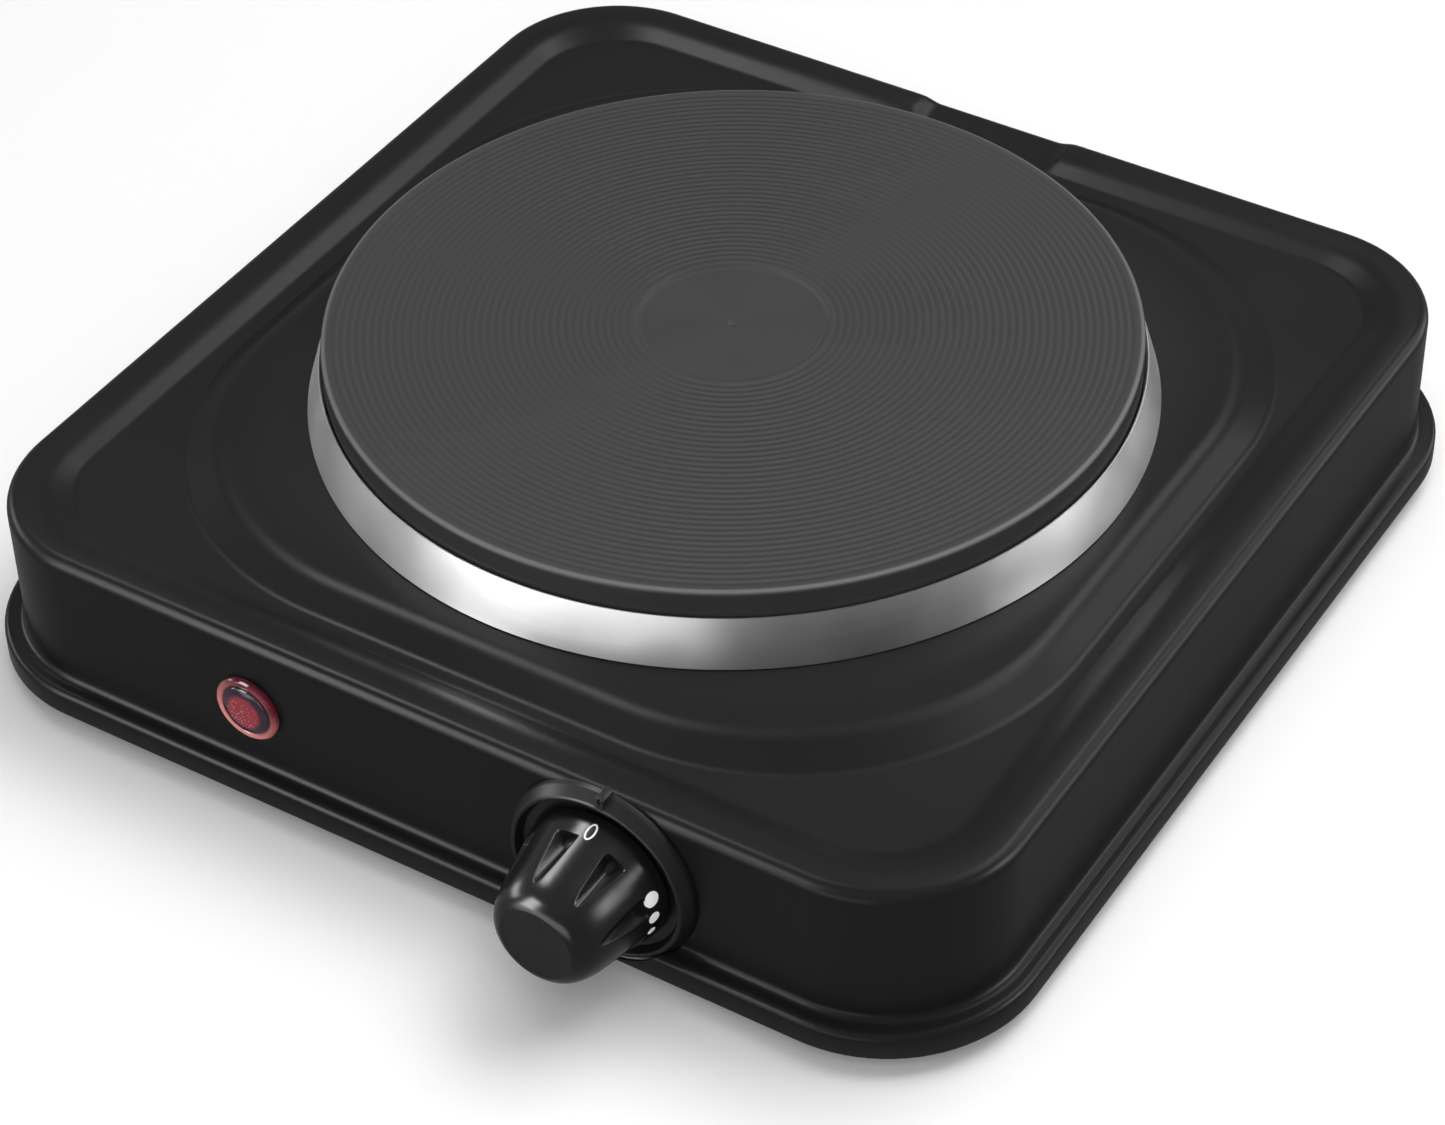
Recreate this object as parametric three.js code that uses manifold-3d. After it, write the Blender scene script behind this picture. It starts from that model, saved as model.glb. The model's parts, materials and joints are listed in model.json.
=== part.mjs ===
// A single-plate electric hot plate, in millimetres, +Z up.
//
// The origin is the middle of the whole object's footprint, on the surface that its feet stand on.
// Everything is drawn around the hot plate's own axis, with heights counted from the lower edge of
// the housing's flange, and one group at the end puts that drawing on its feet.
// The control side is -Y.
import * as THREE from 'three';
import { mergeVertices } from 'three/addons/utils/BufferGeometryUtils.js';
import Module from 'manifold-3d';

// ---------------------------------------------------------------- driving dimensions

const CORNER_STEPS = 6; // facets in a round corner of the housing
const SHEET = 1.0; // thickness of the pressed steel
const GAP = 0.3; // between pieces that touch

const BODY_HALF = 127.3; // half the width of the housing's vertical walls
const BODY_STRAIGHT = 95; // half the straight stretch of a wall, between the corner rounds
const RIM_H = 41.8; // top of the rim
const RIM_ROUND = 3; // outer edge of the rim
const RIM_INNER_HALF = 117.5; // where the rim starts to slope down to the deck
const DECK_H = 39.2; // recessed deck
const DECK_HALF = 113; // where the slope meets the deck
const PLATFORM_H = 43.2; // raised platform that carries the hot plate
const PLATFORM_FOOT_HALF = 110;
const PLATFORM_FOOT_STRAIGHT = 40;
const PLATFORM_TOP_HALF = 103.4;
const PLATFORM_TOP_STRAIGHT = 37;
const PLATE_HOLE_R = 88.5;
const FLANGE_HALF = 132; // half the width over the flange around the foot of the housing
const FLANGE_STRAIGHT = 96;
const FLANGE_H = 6.2; // top of the flange
const FLANGE_FILLET = 2; // between the wall and the flange
const NOTCH_HALF = 20; // dip pressed into the rear rim
const NOTCH_RAMP = 4;
const NOTCH_DEPTH = 1.8;

const FOOT_REACH = 100; // a foot's distance from each centre line
const FOOT_H = 6; // the feet lift the flange by this much
const FOOT_TOP_R = 9.5;
const FOOT_BOTTOM_R = 8.2;
const FOOT_BORE_R = 4.9; // counterbore for the screw's head
const PAN_HALF = 130.4;
const PAN_BOTTOM = 0.6;
const PAN_LIP = 3.6; // height of the lip around the base pan
const PAN_HOLE_R = 2.6; // for a screw
const VENT_X = 45; // middle of each bank of vent slots
const VENT_LENGTH = 48;
const VENT_WIDTH = 5;
const VENT_PITCH = 12;
const BRACKET_SHEET = 1.2;

const PLATE_R = 93.2;
const PLATE_TOP = 61.3;
const PLATE_EDGE_ROUND = 2.4;
const PLATE_RECESS_R = 21.3;
const PLATE_RECESS = 0.8;
const PLATE_SHOULDER = 44.5; // underside of the plate's edge, which rests on the spill ring
const PLATE_RIB_OUT = 86;
const PLATE_RIB_IN = 82;
const PLATE_RIB_BOTTOM = 41;
const CAVITY_TOP = 52; // ceiling of the cavity that holds the heating coil
const BOSS_R = 26;
const BOSS_BOTTOM = 44.3;
const STUD_R = 3;
const STUD_TIP = 23;
const COVER_SHEET = 0.8;
const BRIDGE_SHEET = 2;
const BRIDGE_REACH = 101; // half its length
const BRIDGE_HALF_WIDTH = 12;
const BRIDGE_SUNK = 34; // upper face of its lower middle stretch
const NUT_FLATS = 10; // across the flats
const WASHER_R = 9;
const PIN_R = 1.4; // terminal pins of the heating coil
const PIN_LOW = 30;

const RING_R = 97.5; // spill ring around the hot plate
const RING_TOP_R = 94.2;
const RING_TOP = 55;
const RING_WALL = 0.6;

const COIL_OUTER_R = 68;
const COIL_INNER_R = 50;
const COIL_TUBE_R = 2.3;
const COIL_H = 49;
const COIL_ANGLE = -62; // degrees: where the two ends of the heating coil lie
const COIL_END_GAP = 7; // degrees on each side of that angle

const KNOB_X = 47;
const KNOB_H = 21.5;
const KNOB_REACH = 26.5; // from the wall to the front face of the knob
const KNOB_FACE_R = 8.8;
const KNOB_SHOULDER_R = 15;
const KNOB_BASE_R = 17.2;
const KNOB_NOSE = 14; // length of the rounded nose
const FLUTES = 8; // finger flutes around the knob
const BEZEL_R = 22.8;
const BEZEL_REACH = 4.3;
const SPINDLE_R = 3;
const SCREW_PITCH = 22; // between the two thermostat screws

// Distances along the knob's axis are from the wall's outer face, negative inside the housing.
const KNOB_SKIRT = 2.6; // open end of the knob
const KNOB_CEILING = 15.5; // end of the hollow around its hub
const KNOB_HUB_R = 5.4;
const SPINDLE_OUTER_END = 17.7;
const SPINDLE_INNER_END = -11.3;
const SPINDLE_FLAT = 1.8; // the flat's height above the axis
const PIN_SEAT = -6.3; // end of the bore for the adjusting pin
const BLOCK_FACE = -2.8; // outer face of the thermostat's ceramic block
const BLOCK_STEP = -14.3; // its inner face under the fixed contact
const BLOCK_BACK = -17.7; // its inner face in the middle
const BLOCK_LAND = -19.1; // its inner face under the switch blades
const BLOCK_HALF = 17; // half its width
const BLADE_ROOT = -13.5; // where the switch blades are riveted to the block
const CONTACT_X = 11; // where the contacts meet
const RIVET_HOLE_R = 1.5;

const LAMP_X = -45;
const LAMP_H = 23;
const LAMP_FLANGE_R = 8.4;
const LAMP_SLEEVE_R = 6.2;
const LAMP_SLEEVE_END = -15;
const LAMP_LEAD_X = 2.5; // a lamp lead's distance from the lamp's axis

const GLAND_X = -55;
const GLAND_H = 20;
const GLAND_BORE_R = 4.2;
const GLAND_NECK_R = 6.8; // where the wall grips it
const TERMINAL_BLOCK = [-55, 96]; // the mains terminal block's screw in plan
const TERMINAL_BLOCK_H = 12;
const EARTH_SCREW = [-20, 96];
const TERMINALS = { live: -64, neutral: -46, earth: -37 }; // x of each terminal's wire entry
const TERMINAL_H = 8;

const LEAD_R = 1.1; // internal wiring

const FRAME_SHIFT_Y = (BODY_HALF + KNOB_REACH - FLANGE_HALF) / 2; // centres the footprint on the origin

// ---------------------------------------------------------------- materials

const finish = (colour, roughness, metalness, extra = {}) =>
  new THREE.MeshStandardMaterial({ color: colour, roughness, metalness, ...extra });

const BLACK_ENAMEL = finish(0x1b1b1c, 0.35, 0.1);
const GALVANISED = finish(0x9a9c9c, 0.5, 0.9);
const CAST_IRON = finish(0x48494a, 0.7, 0.4);
const STAINLESS = finish(0xc9c9c7, 0.2, 1);
const CERAMIC = finish(0xe8e2d2, 0.6, 0);
const CEMENT = finish(0xb9b2a2, 0.95, 0);
const RESISTANCE_WIRE = finish(0x7a6f66, 0.5, 0.8);
const ZINC_STEEL = finish(0xb8b9ba, 0.35, 0.9);
const BRASS = finish(0xb8964a, 0.3, 0.9);
const BLACK_PLASTIC = finish(0x141415, 0.25, 0);
const RED_LENS = finish(0xc8323a, 0.15, 0, { transparent: true, opacity: 0.7 });
const CLEAR_GLASS = finish(0xf0e0d8, 0.05, 0, { transparent: true, opacity: 0.5 });
const BLACK_RUBBER = finish(0x1c1c1c, 0.9, 0);
const WIRE_SLEEVES = {
  live: finish(0x6b3f23, 0.5, 0),
  switched: finish(0x222222, 0.5, 0),
  neutral: finish(0x2b5fae, 0.5, 0),
  earth: finish(0x5f9a33, 0.5, 0),
};

// ---------------------------------------------------------------- solids: joining and cutting

const wasm = await Module();
wasm.setup();

function solid(geometry) {
  const bare = geometry.clone();
  bare.deleteAttribute('normal');
  bare.deleteAttribute('uv');
  const merged = mergeVertices(bare, 1e-4);
  const index = merged.index.array;
  const kept = [];
  for (let i = 0; i < index.length; i += 3) {
    const [a, b, c] = [index[i], index[i + 1], index[i + 2]];
    if (a !== b && b !== c && c !== a) kept.push(a, b, c);
  }
  return new wasm.Manifold(
    new wasm.Mesh({
      numProp: 3,
      vertProperties: new Float32Array(merged.attributes.position.array),
      triVerts: new Uint32Array(kept),
    }),
  );
}

function geometryOf(manifold) {
  const mesh = manifold.getMesh();
  const geometry = new THREE.BufferGeometry();
  geometry.setAttribute('position', new THREE.Float32BufferAttribute(mesh.vertProperties, 3));
  geometry.setIndex(new THREE.Uint32BufferAttribute(mesh.triVerts, 1));
  return geometry;
}

function cut(geometry, ...tools) {
  return geometryOf(tools.reduce((left, tool) => left.subtract(solid(tool)), solid(geometry)));
}

function join(geometry, ...others) {
  return geometryOf(others.reduce((sum, other) => sum.add(solid(other)), solid(geometry)));
}

// ---------------------------------------------------------------- shapes

// A solid of revolution about +Z. The profile lists [radius, height] with the material on its left.
function turned(profile, segments = 32) {
  const points = profile.map(([r, h]) => new THREE.Vector2(r, h));
  return new THREE.LatheGeometry(points, segments).rotateX(Math.PI / 2);
}

// The same for a profile that doesn't touch the axis, which is closed back onto its first point.
const turnedRing = (profile, segments) => turned([...profile, profile[0]], segments);

// A rod about +Z from one height to another.
function rod(radius, low, high, segments = 16) {
  return new THREE.CylinderGeometry(radius, radius, high - low, segments)
    .rotateX(Math.PI / 2)
    .translate(0, 0, (low + high) / 2);
}

// A box between two corners.
function block(x0, x1, y0, y1, z0, z1) {
  return new THREE.BoxGeometry(x1 - x0, y1 - y0, z1 - z0).translate(
    (x0 + x1) / 2,
    (y0 + y1) / 2,
    (z0 + z1) / 2,
  );
}

// Points on an arc in a profile, angles in degrees.
function arc(centreR, centreH, radius, from, to, steps) {
  const points = [];
  for (let i = 0; i <= steps; i += 1) {
    const angle = THREE.MathUtils.degToRad(from + ((to - from) * i) / steps);
    points.push([centreR + radius * Math.cos(angle), centreH + radius * Math.sin(angle)]);
  }
  return points;
}

// A square outline with round corners, as a shape.
function roundedSquare(half, straight) {
  const corner = half - straight;
  const shape = new THREE.Shape();
  shape.absarc(straight, straight, corner, 0, Math.PI / 2, false);
  shape.absarc(-straight, straight, corner, Math.PI / 2, Math.PI, false);
  shape.absarc(-straight, -straight, corner, Math.PI, 1.5 * Math.PI, false);
  shape.absarc(straight, -straight, corner, 1.5 * Math.PI, 2 * Math.PI, false);
  shape.closePath();
  return shape;
}

const extruded = (shape, depth, curveSegments = 6) =>
  new THREE.ExtrudeGeometry(shape, { depth, curveSegments, bevelEnabled: false });

function roundHole(x, y, radius) {
  const path = new THREE.Path();
  path.absarc(x, y, radius, 0, 2 * Math.PI, true);
  return path;
}

// A round tube along a smooth curve through the given points.
function tube(points, radius, steps, sides = 8) {
  const section = new THREE.Shape();
  for (let i = 0; i < sides; i += 1) {
    const angle = (2 * Math.PI * i) / sides;
    const method = i === 0 ? 'moveTo' : 'lineTo';
    section[method](radius * Math.cos(angle), radius * Math.sin(angle));
  }
  const path = new THREE.CatmullRomCurve3(points.map((p) => new THREE.Vector3(...p)));
  return new THREE.ExtrudeGeometry(section, { steps, bevelEnabled: false, extrudePath: path });
}

function hexNut(acrossFlats, bore, low, high) {
  const shape = new THREE.Shape();
  for (let i = 0; i < 6; i += 1) {
    const angle = (Math.PI * i) / 3;
    const reach = acrossFlats / Math.sqrt(3);
    const method = i === 0 ? 'moveTo' : 'lineTo';
    shape[method](reach * Math.cos(angle), reach * Math.sin(angle));
  }
  shape.closePath();
  shape.holes.push(roundHole(0, 0, bore));
  return extruded(shape, high - low, 8).translate(0, 0, low);
}

// A pan-head screw that points down: the head's top is at headTop, the tip at tip.
function screwDown(headR, headH, shaftR, headTop, tip, segments = 16) {
  const underHead = headTop - headH;
  return turned(
    [[0, tip], [shaftR, tip], [shaftR, underHead], [headR, underHead],
      [headR, headTop - headH / 3], [headR * 0.7, headTop], [0, headTop]],
    segments,
  );
}

// ---------------------------------------------------------------- assembly

const drawing = new THREE.Group();
drawing.position.set(0, FRAME_SHIFT_Y, FOOT_H);

function add(name, geometry, material, parent = drawing) {
  const mesh = new THREE.Mesh(geometry, material);
  mesh.name = name;
  parent.add(mesh);
  return mesh;
}

// A group on a wall's outer face whose +Z points out of the wall. On the front wall +X is right.
function onWall(x, height, side) {
  const group = new THREE.Group();
  group.position.set(x, side * BODY_HALF, height);
  group.rotation.x = (-side * Math.PI) / 2;
  drawing.add(group);
  return group;
}

// ---------------------------------------------------------------- housing

// The pressed shell's outer face from the foot of the flange to the middle of the platform, as
// [half width, straight half length, height].
function shellOuterProfile() {
  const wallFoot = BODY_HALF + FLANGE_FILLET;
  return [
    [FLANGE_HALF, FLANGE_STRAIGHT, 0],
    [FLANGE_HALF, FLANGE_STRAIGHT, FLANGE_H - 0.8],
    [FLANGE_HALF - 0.8, FLANGE_STRAIGHT, FLANGE_H],
    ...arc(wallFoot, FLANGE_H + FLANGE_FILLET, FLANGE_FILLET, 270, 180, 2)
      .map(([half, height]) => [half, BODY_STRAIGHT, height]),
    ...arc(BODY_HALF - RIM_ROUND, RIM_H - RIM_ROUND, RIM_ROUND, 0, 90, 3)
      .map(([half, height]) => [half, BODY_STRAIGHT, height]),
    [RIM_INNER_HALF, BODY_STRAIGHT - 2, RIM_H],
    [DECK_HALF, BODY_STRAIGHT - 3, DECK_H],
    [PLATFORM_FOOT_HALF, PLATFORM_FOOT_STRAIGHT, DECK_H],
    [PLATFORM_TOP_HALF, PLATFORM_TOP_STRAIGHT, PLATFORM_H],
    [PLATE_HOLE_R - 15, PLATFORM_TOP_STRAIGHT - 10, PLATFORM_H],
  ];
}

// The inner face: every point moves by the sheet's thickness to the left of the way the profile runs.
function shellInnerProfile(outer) {
  return outer.map((point, i) => {
    const before = outer[Math.max(i - 1, 0)];
    const after = outer[Math.min(i + 1, outer.length - 1)];
    const normals = [[before, point], [point, after]]
      .filter(([a, b]) => a !== b)
      .map(([a, b]) => new THREE.Vector2(a[2] - b[2], b[0] - a[0]).normalize());
    const mean = normals.reduce((sum, n) => sum.clone().add(n)).normalize();
    const reach = SHEET / mean.dot(normals[0]);
    return [point[0] + mean.x * reach, point[1], point[2] + mean.y * reach];
  });
}

// How far the rear rim is pressed down at a point of the shell.
function notchDepth(x, y, height) {
  const along = THREE.MathUtils.clamp((NOTCH_HALF + NOTCH_RAMP - Math.abs(x)) / NOTCH_RAMP, 0, 1);
  const up = THREE.MathUtils.clamp((height - DECK_H) / (RIM_H - SHEET - DECK_H), 0, 1);
  return y > RIM_INNER_HALF - 6 ? NOTCH_DEPTH * along * up : 0;
}

// One round of the shell at a profile point, counter-clockwise from above. The rear side has stops
// where the notch starts and ends.
function shellRing([half, straight, height]) {
  const corner = half - straight;
  const ring = [];
  for (let quarter = 0; quarter < 4; quarter += 1) {
    const [centreX, centreY] = [[1, 1], [-1, 1], [-1, -1], [1, -1]][quarter];
    for (let i = 0; i <= CORNER_STEPS; i += 1) {
      const angle = (Math.PI / 2) * (quarter + i / CORNER_STEPS);
      const x = centreX * straight + corner * Math.cos(angle);
      ring.push(new THREE.Vector3(x, centreY * straight + corner * Math.sin(angle), height));
    }
    if (quarter > 0) continue;
    for (const x of [NOTCH_HALF + NOTCH_RAMP, NOTCH_HALF, -NOTCH_HALF, -NOTCH_HALF - NOTCH_RAMP]) {
      ring.push(new THREE.Vector3(x, half, height));
    }
  }
  ring.forEach((point) => {
    point.z -= notchDepth(point.x, point.y, height);
  });
  return ring;
}

// A closed skin over rings that each have the same number of points, closed back onto the first.
function skin(rings) {
  const columns = rings[0].length;
  const positions = rings.flat().flatMap((p) => [p.x, p.y, p.z]);
  const index = [];
  rings.forEach((_, i) => {
    const next = (i + 1) % rings.length;
    for (let j = 0; j < columns; j += 1) {
      const k = (j + 1) % columns;
      const [a, b] = [i * columns + j, i * columns + k];
      const [c, d] = [next * columns + k, next * columns + j];
      index.push(a, b, c, a, c, d);
    }
  });
  const geometry = new THREE.BufferGeometry();
  geometry.setAttribute('position', new THREE.Float32BufferAttribute(positions, 3));
  geometry.setIndex(index);
  return geometry;
}

function housingShell() {
  const outer = shellOuterProfile();
  const inner = shellInnerProfile(outer);
  const rings = [...outer, ...inner.reverse()].map(shellRing);
  return cut(
    skin(rings),
    rod(PLATE_HOLE_R, DECK_H - 5, PLATFORM_H + 5, 44),
    wallHole(KNOB_X, KNOB_H, KNOB_HUB_R + 0.2, -1),
    wallHole(KNOB_X - SCREW_PITCH / 2, KNOB_H, 2.3, -1),
    wallHole(KNOB_X + SCREW_PITCH / 2, KNOB_H, 2.3, -1),
    wallHole(LAMP_X, LAMP_H, LAMP_SLEEVE_R + 0.5, -1),
    wallHole(GLAND_X, GLAND_H, GLAND_NECK_R + 0.4, 1),
    bezelRelief(0),
  );
}

// Cutter for a round hole through the front wall (side -1) or the rear wall (side 1).
function wallHole(x, height, radius, side) {
  return rod(radius, -8, 8, 14).rotateX(Math.PI / 2).translate(x, side * BODY_HALF, height);
}

// The knob's bezel is larger than the wall is high, so the flange and the pan are cut away in front
// of the wall, from this far behind its outer face.
function bezelRelief(behind) {
  return rod(BEZEL_R + 0.5, -behind, 10, 28).rotateX(Math.PI / 2).translate(KNOB_X, -BODY_HALF, KNOB_H);
}

// Sheet-steel pan that closes the housing from below, with a lip and two banks of vent slots.
function basePan() {
  const inside = extruded(roundedSquare(PAN_HALF - SHEET, FLANGE_STRAIGHT), PAN_LIP).translate(0, 0, SHEET);
  const [long, wide] = [VENT_LENGTH / 2, VENT_WIDTH / 2];
  const slots = [];
  for (const side of [-1, 1]) {
    for (let row = -3; row <= 3; row += 1) {
      const slot = block(-long, long, -wide, wide, -1, SHEET + 1);
      slots.push(slot.translate(side * VENT_X, row * VENT_PITCH, 0));
    }
  }
  const holes = [...footPlaces(), TERMINAL_BLOCK, EARTH_SCREW].map(([x, y]) =>
    rod(PAN_HOLE_R, -1, SHEET + 1, 8).translate(x, y, 0));
  const outside = extruded(roundedSquare(PAN_HALF, FLANGE_STRAIGHT), PAN_LIP);
  const pan = cut(outside, inside, ...slots, ...holes).translate(0, 0, PAN_BOTTOM);
  return cut(pan, bezelRelief(GAP));
}

function footPlaces() {
  return [[-1, -1], [1, -1], [1, 1], [-1, 1]].map(([x, y]) => [x * FOOT_REACH, y * FOOT_REACH]);
}

// Rubber foot with a counterbore for its screw.
function foot() {
  const top = PAN_BOTTOM - GAP;
  const seat = -2.6; // of the screw's head
  return turnedRing(
    [
      [FOOT_BORE_R, -FOOT_H], [FOOT_BOTTOM_R, -FOOT_H], [FOOT_TOP_R, top], [PAN_HOLE_R, top],
      [PAN_HOLE_R, seat], [FOOT_BORE_R, seat],
    ],
    14,
  );
}

// Its screw points up, through the pan and the corner bracket.
function footScrew() {
  return turned([[0, -4.6], [3, -4.6], [4.2, -4], [4.2, -2.9], [2, -2.9], [2, 8.5], [0, 8.5]], 10);
}

// Bracket welded inside a corner of the shell. It is drawn along +X and turned onto its diagonal.
function cornerBracket() {
  const reach = Math.SQRT2 * FOOT_REACH;
  const low = PAN_BOTTOM + SHEET + 0.4;
  const leg = Math.SQRT2 * BODY_STRAIGHT + (BODY_HALF - BODY_STRAIGHT - SHEET) - 1.5;
  const [halfWidth, height] = [8, 24];
  return cut(
    join(
      block(reach - 9, leg, -halfWidth, halfWidth, low, low + BRACKET_SHEET),
      block(leg - BRACKET_SHEET, leg, -halfWidth, halfWidth, low, low + height),
    ),
    rod(PAN_HOLE_R, low - 1, low + 3, 8).translate(reach, 0, 0),
  );
}

function addFeet() {
  const corners = ['front_left', 'front_right', 'rear_right', 'rear_left'];
  footPlaces().forEach(([x, y], i) => {
    add(`foot_${corners[i]}`, foot(), BLACK_RUBBER).position.set(x, y, 0);
    add(`foot_screw_${corners[i]}`, footScrew(), ZINC_STEEL).position.set(x, y, 0);
    add(`corner_bracket_${corners[i]}`, cornerBracket(), GALVANISED).rotation.z = Math.atan2(y, x);
  });
}

// ---------------------------------------------------------------- hot plate

// Cast plate: flat top with a shallow recess in the middle, an edge that rests on the spill ring,
// a rib around the cavity for the heating coil and a boss for the stud.
function hotplateCasting() {
  return turned(
    [
      [0, CAVITY_TOP], [STUD_R + 0.4, CAVITY_TOP], [STUD_R + 0.4, BOSS_BOTTOM],
      [BOSS_R, BOSS_BOTTOM], [BOSS_R, CAVITY_TOP], [PLATE_RIB_IN, CAVITY_TOP],
      [PLATE_RIB_IN, PLATE_RIB_BOTTOM], [PLATE_RIB_OUT, PLATE_RIB_BOTTOM],
      [PLATE_RIB_OUT, PLATE_SHOULDER], [PLATE_R, PLATE_SHOULDER],
      ...arc(PLATE_R - PLATE_EDGE_ROUND, PLATE_TOP - PLATE_EDGE_ROUND, PLATE_EDGE_ROUND, 0, 90, 3),
      [PLATE_RECESS_R + PLATE_RECESS, PLATE_TOP],
      [PLATE_RECESS_R, PLATE_TOP - PLATE_RECESS],
      [0, PLATE_TOP - PLATE_RECESS],
    ],
    40,
  );
}

function spillRing() {
  const low = PLATFORM_H + GAP;
  const inner = PLATE_HOLE_R + 2;
  return turnedRing(
    [
      [inner, low], [RING_R, low], [RING_R, low + RING_WALL], [RING_TOP_R + 0.4, RING_TOP - 0.5],
      [RING_TOP_R, RING_TOP], [RING_TOP_R - RING_WALL, RING_TOP],
      [RING_R - 2 * RING_WALL, low + RING_WALL], [inner, low + RING_WALL],
    ],
    40,
  );
}

// Where the two ends of the heating coil, and so the two terminal pins, lie in plan.
function coilEnd(radius) {
  const angle = THREE.MathUtils.degToRad(COIL_ANGLE + COIL_END_GAP);
  return [radius * Math.cos(angle), radius * Math.sin(angle)];
}

// One outer and one inner loop, joined by a half turn.
function heatingCoil() {
  const points = [];
  const from = COIL_ANGLE + COIL_END_GAP;
  const to = COIL_ANGLE + 360 - 2 * COIL_END_GAP;
  const middle = (COIL_OUTER_R + COIL_INNER_R) / 2;
  const half = (COIL_OUTER_R - COIL_INNER_R) / 2;
  const onCircle = (radius, degrees) => {
    const angle = THREE.MathUtils.degToRad(degrees);
    return [radius * Math.cos(angle), radius * Math.sin(angle), COIL_H];
  };
  for (let step = 0; step <= 24; step += 1) {
    points.push(onCircle(COIL_OUTER_R, from + ((to - from) * step) / 24));
  }
  for (let step = 1; step < 6; step += 1) {
    const turn = (Math.PI * step) / 6;
    const ahead = THREE.MathUtils.radToDeg((half * Math.sin(turn)) / middle);
    points.push(onCircle(middle + half * Math.cos(turn), to + ahead));
  }
  for (let step = 0; step <= 20; step += 1) {
    points.push(onCircle(COIL_INNER_R, to + ((from - to) * step) / 20));
  }
  return tube(points, COIL_TUBE_R, 56);
}

const pinHoles = (radius, low, high) =>
  [COIL_OUTER_R, COIL_INNER_R].map((r) => rod(radius, low, high, 8).translate(...coilEnd(r), 0));

// Magnesia ring with a trough for the heating coil.
function insulatingRing() {
  const [low, high] = [BOSS_BOTTOM + 0.1, CAVITY_TOP - 0.4];
  const trough = COIL_H - COIL_TUBE_R - 0.5;
  const ring = turnedRing(
    [
      [BOSS_R + 0.4, low], [PLATE_RIB_IN - 0.4, low], [PLATE_RIB_IN - 0.4, high],
      [COIL_OUTER_R + 4, high], [COIL_OUTER_R + 4, trough], [COIL_INNER_R - 4, trough],
      [COIL_INNER_R - 4, high], [BOSS_R + 0.4, high],
    ],
    28,
  );
  return cut(ring, ...pinHoles(2.2, low - 1, high));
}

function plateUnderCover() {
  const high = BOSS_BOTTOM - GAP;
  const low = high - COVER_SHEET;
  const [hole, rim] = [STUD_R + 1.2, PLATE_RIB_IN - 0.5];
  const disc = turnedRing([[hole, low], [rim, low], [rim, high], [hole, high]], 32);
  return cut(disc, ...pinHoles(2.4, low - 1, high + 1));
}

// Pressed bar that spans the hole from below and pulls the plate down onto the housing.
function clampBridge() {
  const pad = PLATFORM_H - SHEET - GAP;
  const upper = [[BRIDGE_REACH, pad], [PLATE_HOLE_R + 2.5, pad], [78, BRIDGE_SUNK]];
  const lower = [[BRIDGE_REACH, pad], [PLATE_HOLE_R + 3.5, pad], [79, BRIDGE_SUNK]]
    .map(([x, height]) => [x, height - BRIDGE_SHEET]);
  const mirrored = (points) => points.map(([x, height]) => [-x, height]).reverse();
  const outline = [...mirrored(lower).reverse(), ...lower.reverse(), ...upper, ...mirrored(upper)];
  const shape = new THREE.Shape(outline.map(([x, height]) => new THREE.Vector2(x, height)));
  const bar = extruded(shape, 2 * BRIDGE_HALF_WIDTH)
    .rotateX(Math.PI / 2)
    .translate(0, BRIDGE_HALF_WIDTH, 0);
  return cut(bar, rod(STUD_R + 0.5, BRIDGE_SUNK - 5, BRIDGE_SUNK + 5, 16));
}

function centreStud() {
  const [low, high, chamfer] = [STUD_TIP, CAVITY_TOP - 0.4, 0.6];
  return turned(
    [
      [0, low], [STUD_R - chamfer, low], [STUD_R, low + chamfer], [STUD_R, high - chamfer],
      [STUD_R - chamfer, high], [0, high],
    ],
    16,
  );
}

// Ceramic block under the plate, long in the radial direction, with a way through for each pin.
function plateTerminalBlock() {
  const angle = THREE.MathUtils.degToRad(COIL_ANGLE + COIL_END_GAP);
  const high = BOSS_BOTTOM - GAP - COVER_SHEET - GAP;
  const low = high - 10.3;
  const body = block(COIL_INNER_R - 8, COIL_OUTER_R + 8, -7, 7, low, high);
  return cut(body.rotateZ(angle), ...pinHoles(PIN_R + 0.4, low - 1, high + 1));
}

// The nut that holds the under cover, and below the bridge the washer and nut that clamp the plate.
function addStudNuts() {
  const coverNutTop = BOSS_BOTTOM - GAP - COVER_SHEET - GAP;
  const washerTop = BRIDGE_SUNK - BRIDGE_SHEET - GAP;
  const washerLow = washerTop - 1.3;
  const [hole, nutTop] = [STUD_R + 0.4, washerLow - GAP];
  const washer = turnedRing(
    [[hole, washerLow], [WASHER_R, washerLow], [WASHER_R, washerTop], [hole, washerTop]],
    14,
  );
  add('cover_nut', hexNut(NUT_FLATS, STUD_R + GAP, coverNutTop - 3.2, coverNutTop), ZINC_STEEL);
  add('stud_washer', washer, ZINC_STEEL);
  add('stud_nut', hexNut(NUT_FLATS, STUD_R + GAP, nutTop - 5, nutTop), ZINC_STEEL);
}

function addTerminalPins() {
  const pinTop = COIL_H - COIL_TUBE_R - 0.4;
  for (const [name, radius] of [['outer', COIL_OUTER_R], ['inner', COIL_INNER_R]]) {
    const pin = add(`terminal_pin_${name}`, rod(PIN_R, PIN_LOW, pinTop, 10), BRASS);
    pin.position.set(...coilEnd(radius), 0);
  }
}

function addHotPlate() {
  add('hotplate_casting', hotplateCasting(), CAST_IRON);
  add('spill_ring', spillRing(), STAINLESS);
  add('heating_coil', heatingCoil(), RESISTANCE_WIRE);
  add('insulating_ring', insulatingRing(), CEMENT);
  add('plate_under_cover', plateUnderCover(), GALVANISED);
  add('centre_stud', centreStud(), ZINC_STEEL);
  add('clamp_bridge', clampBridge(), GALVANISED);
  add('plate_terminal_block', plateTerminalBlock(), CERAMIC);
  addStudNuts();
  addTerminalPins();
}

// ---------------------------------------------------------------- control
// In this section +X is right, +Y is up and +Z points out of the front wall, from its outer face.

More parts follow.
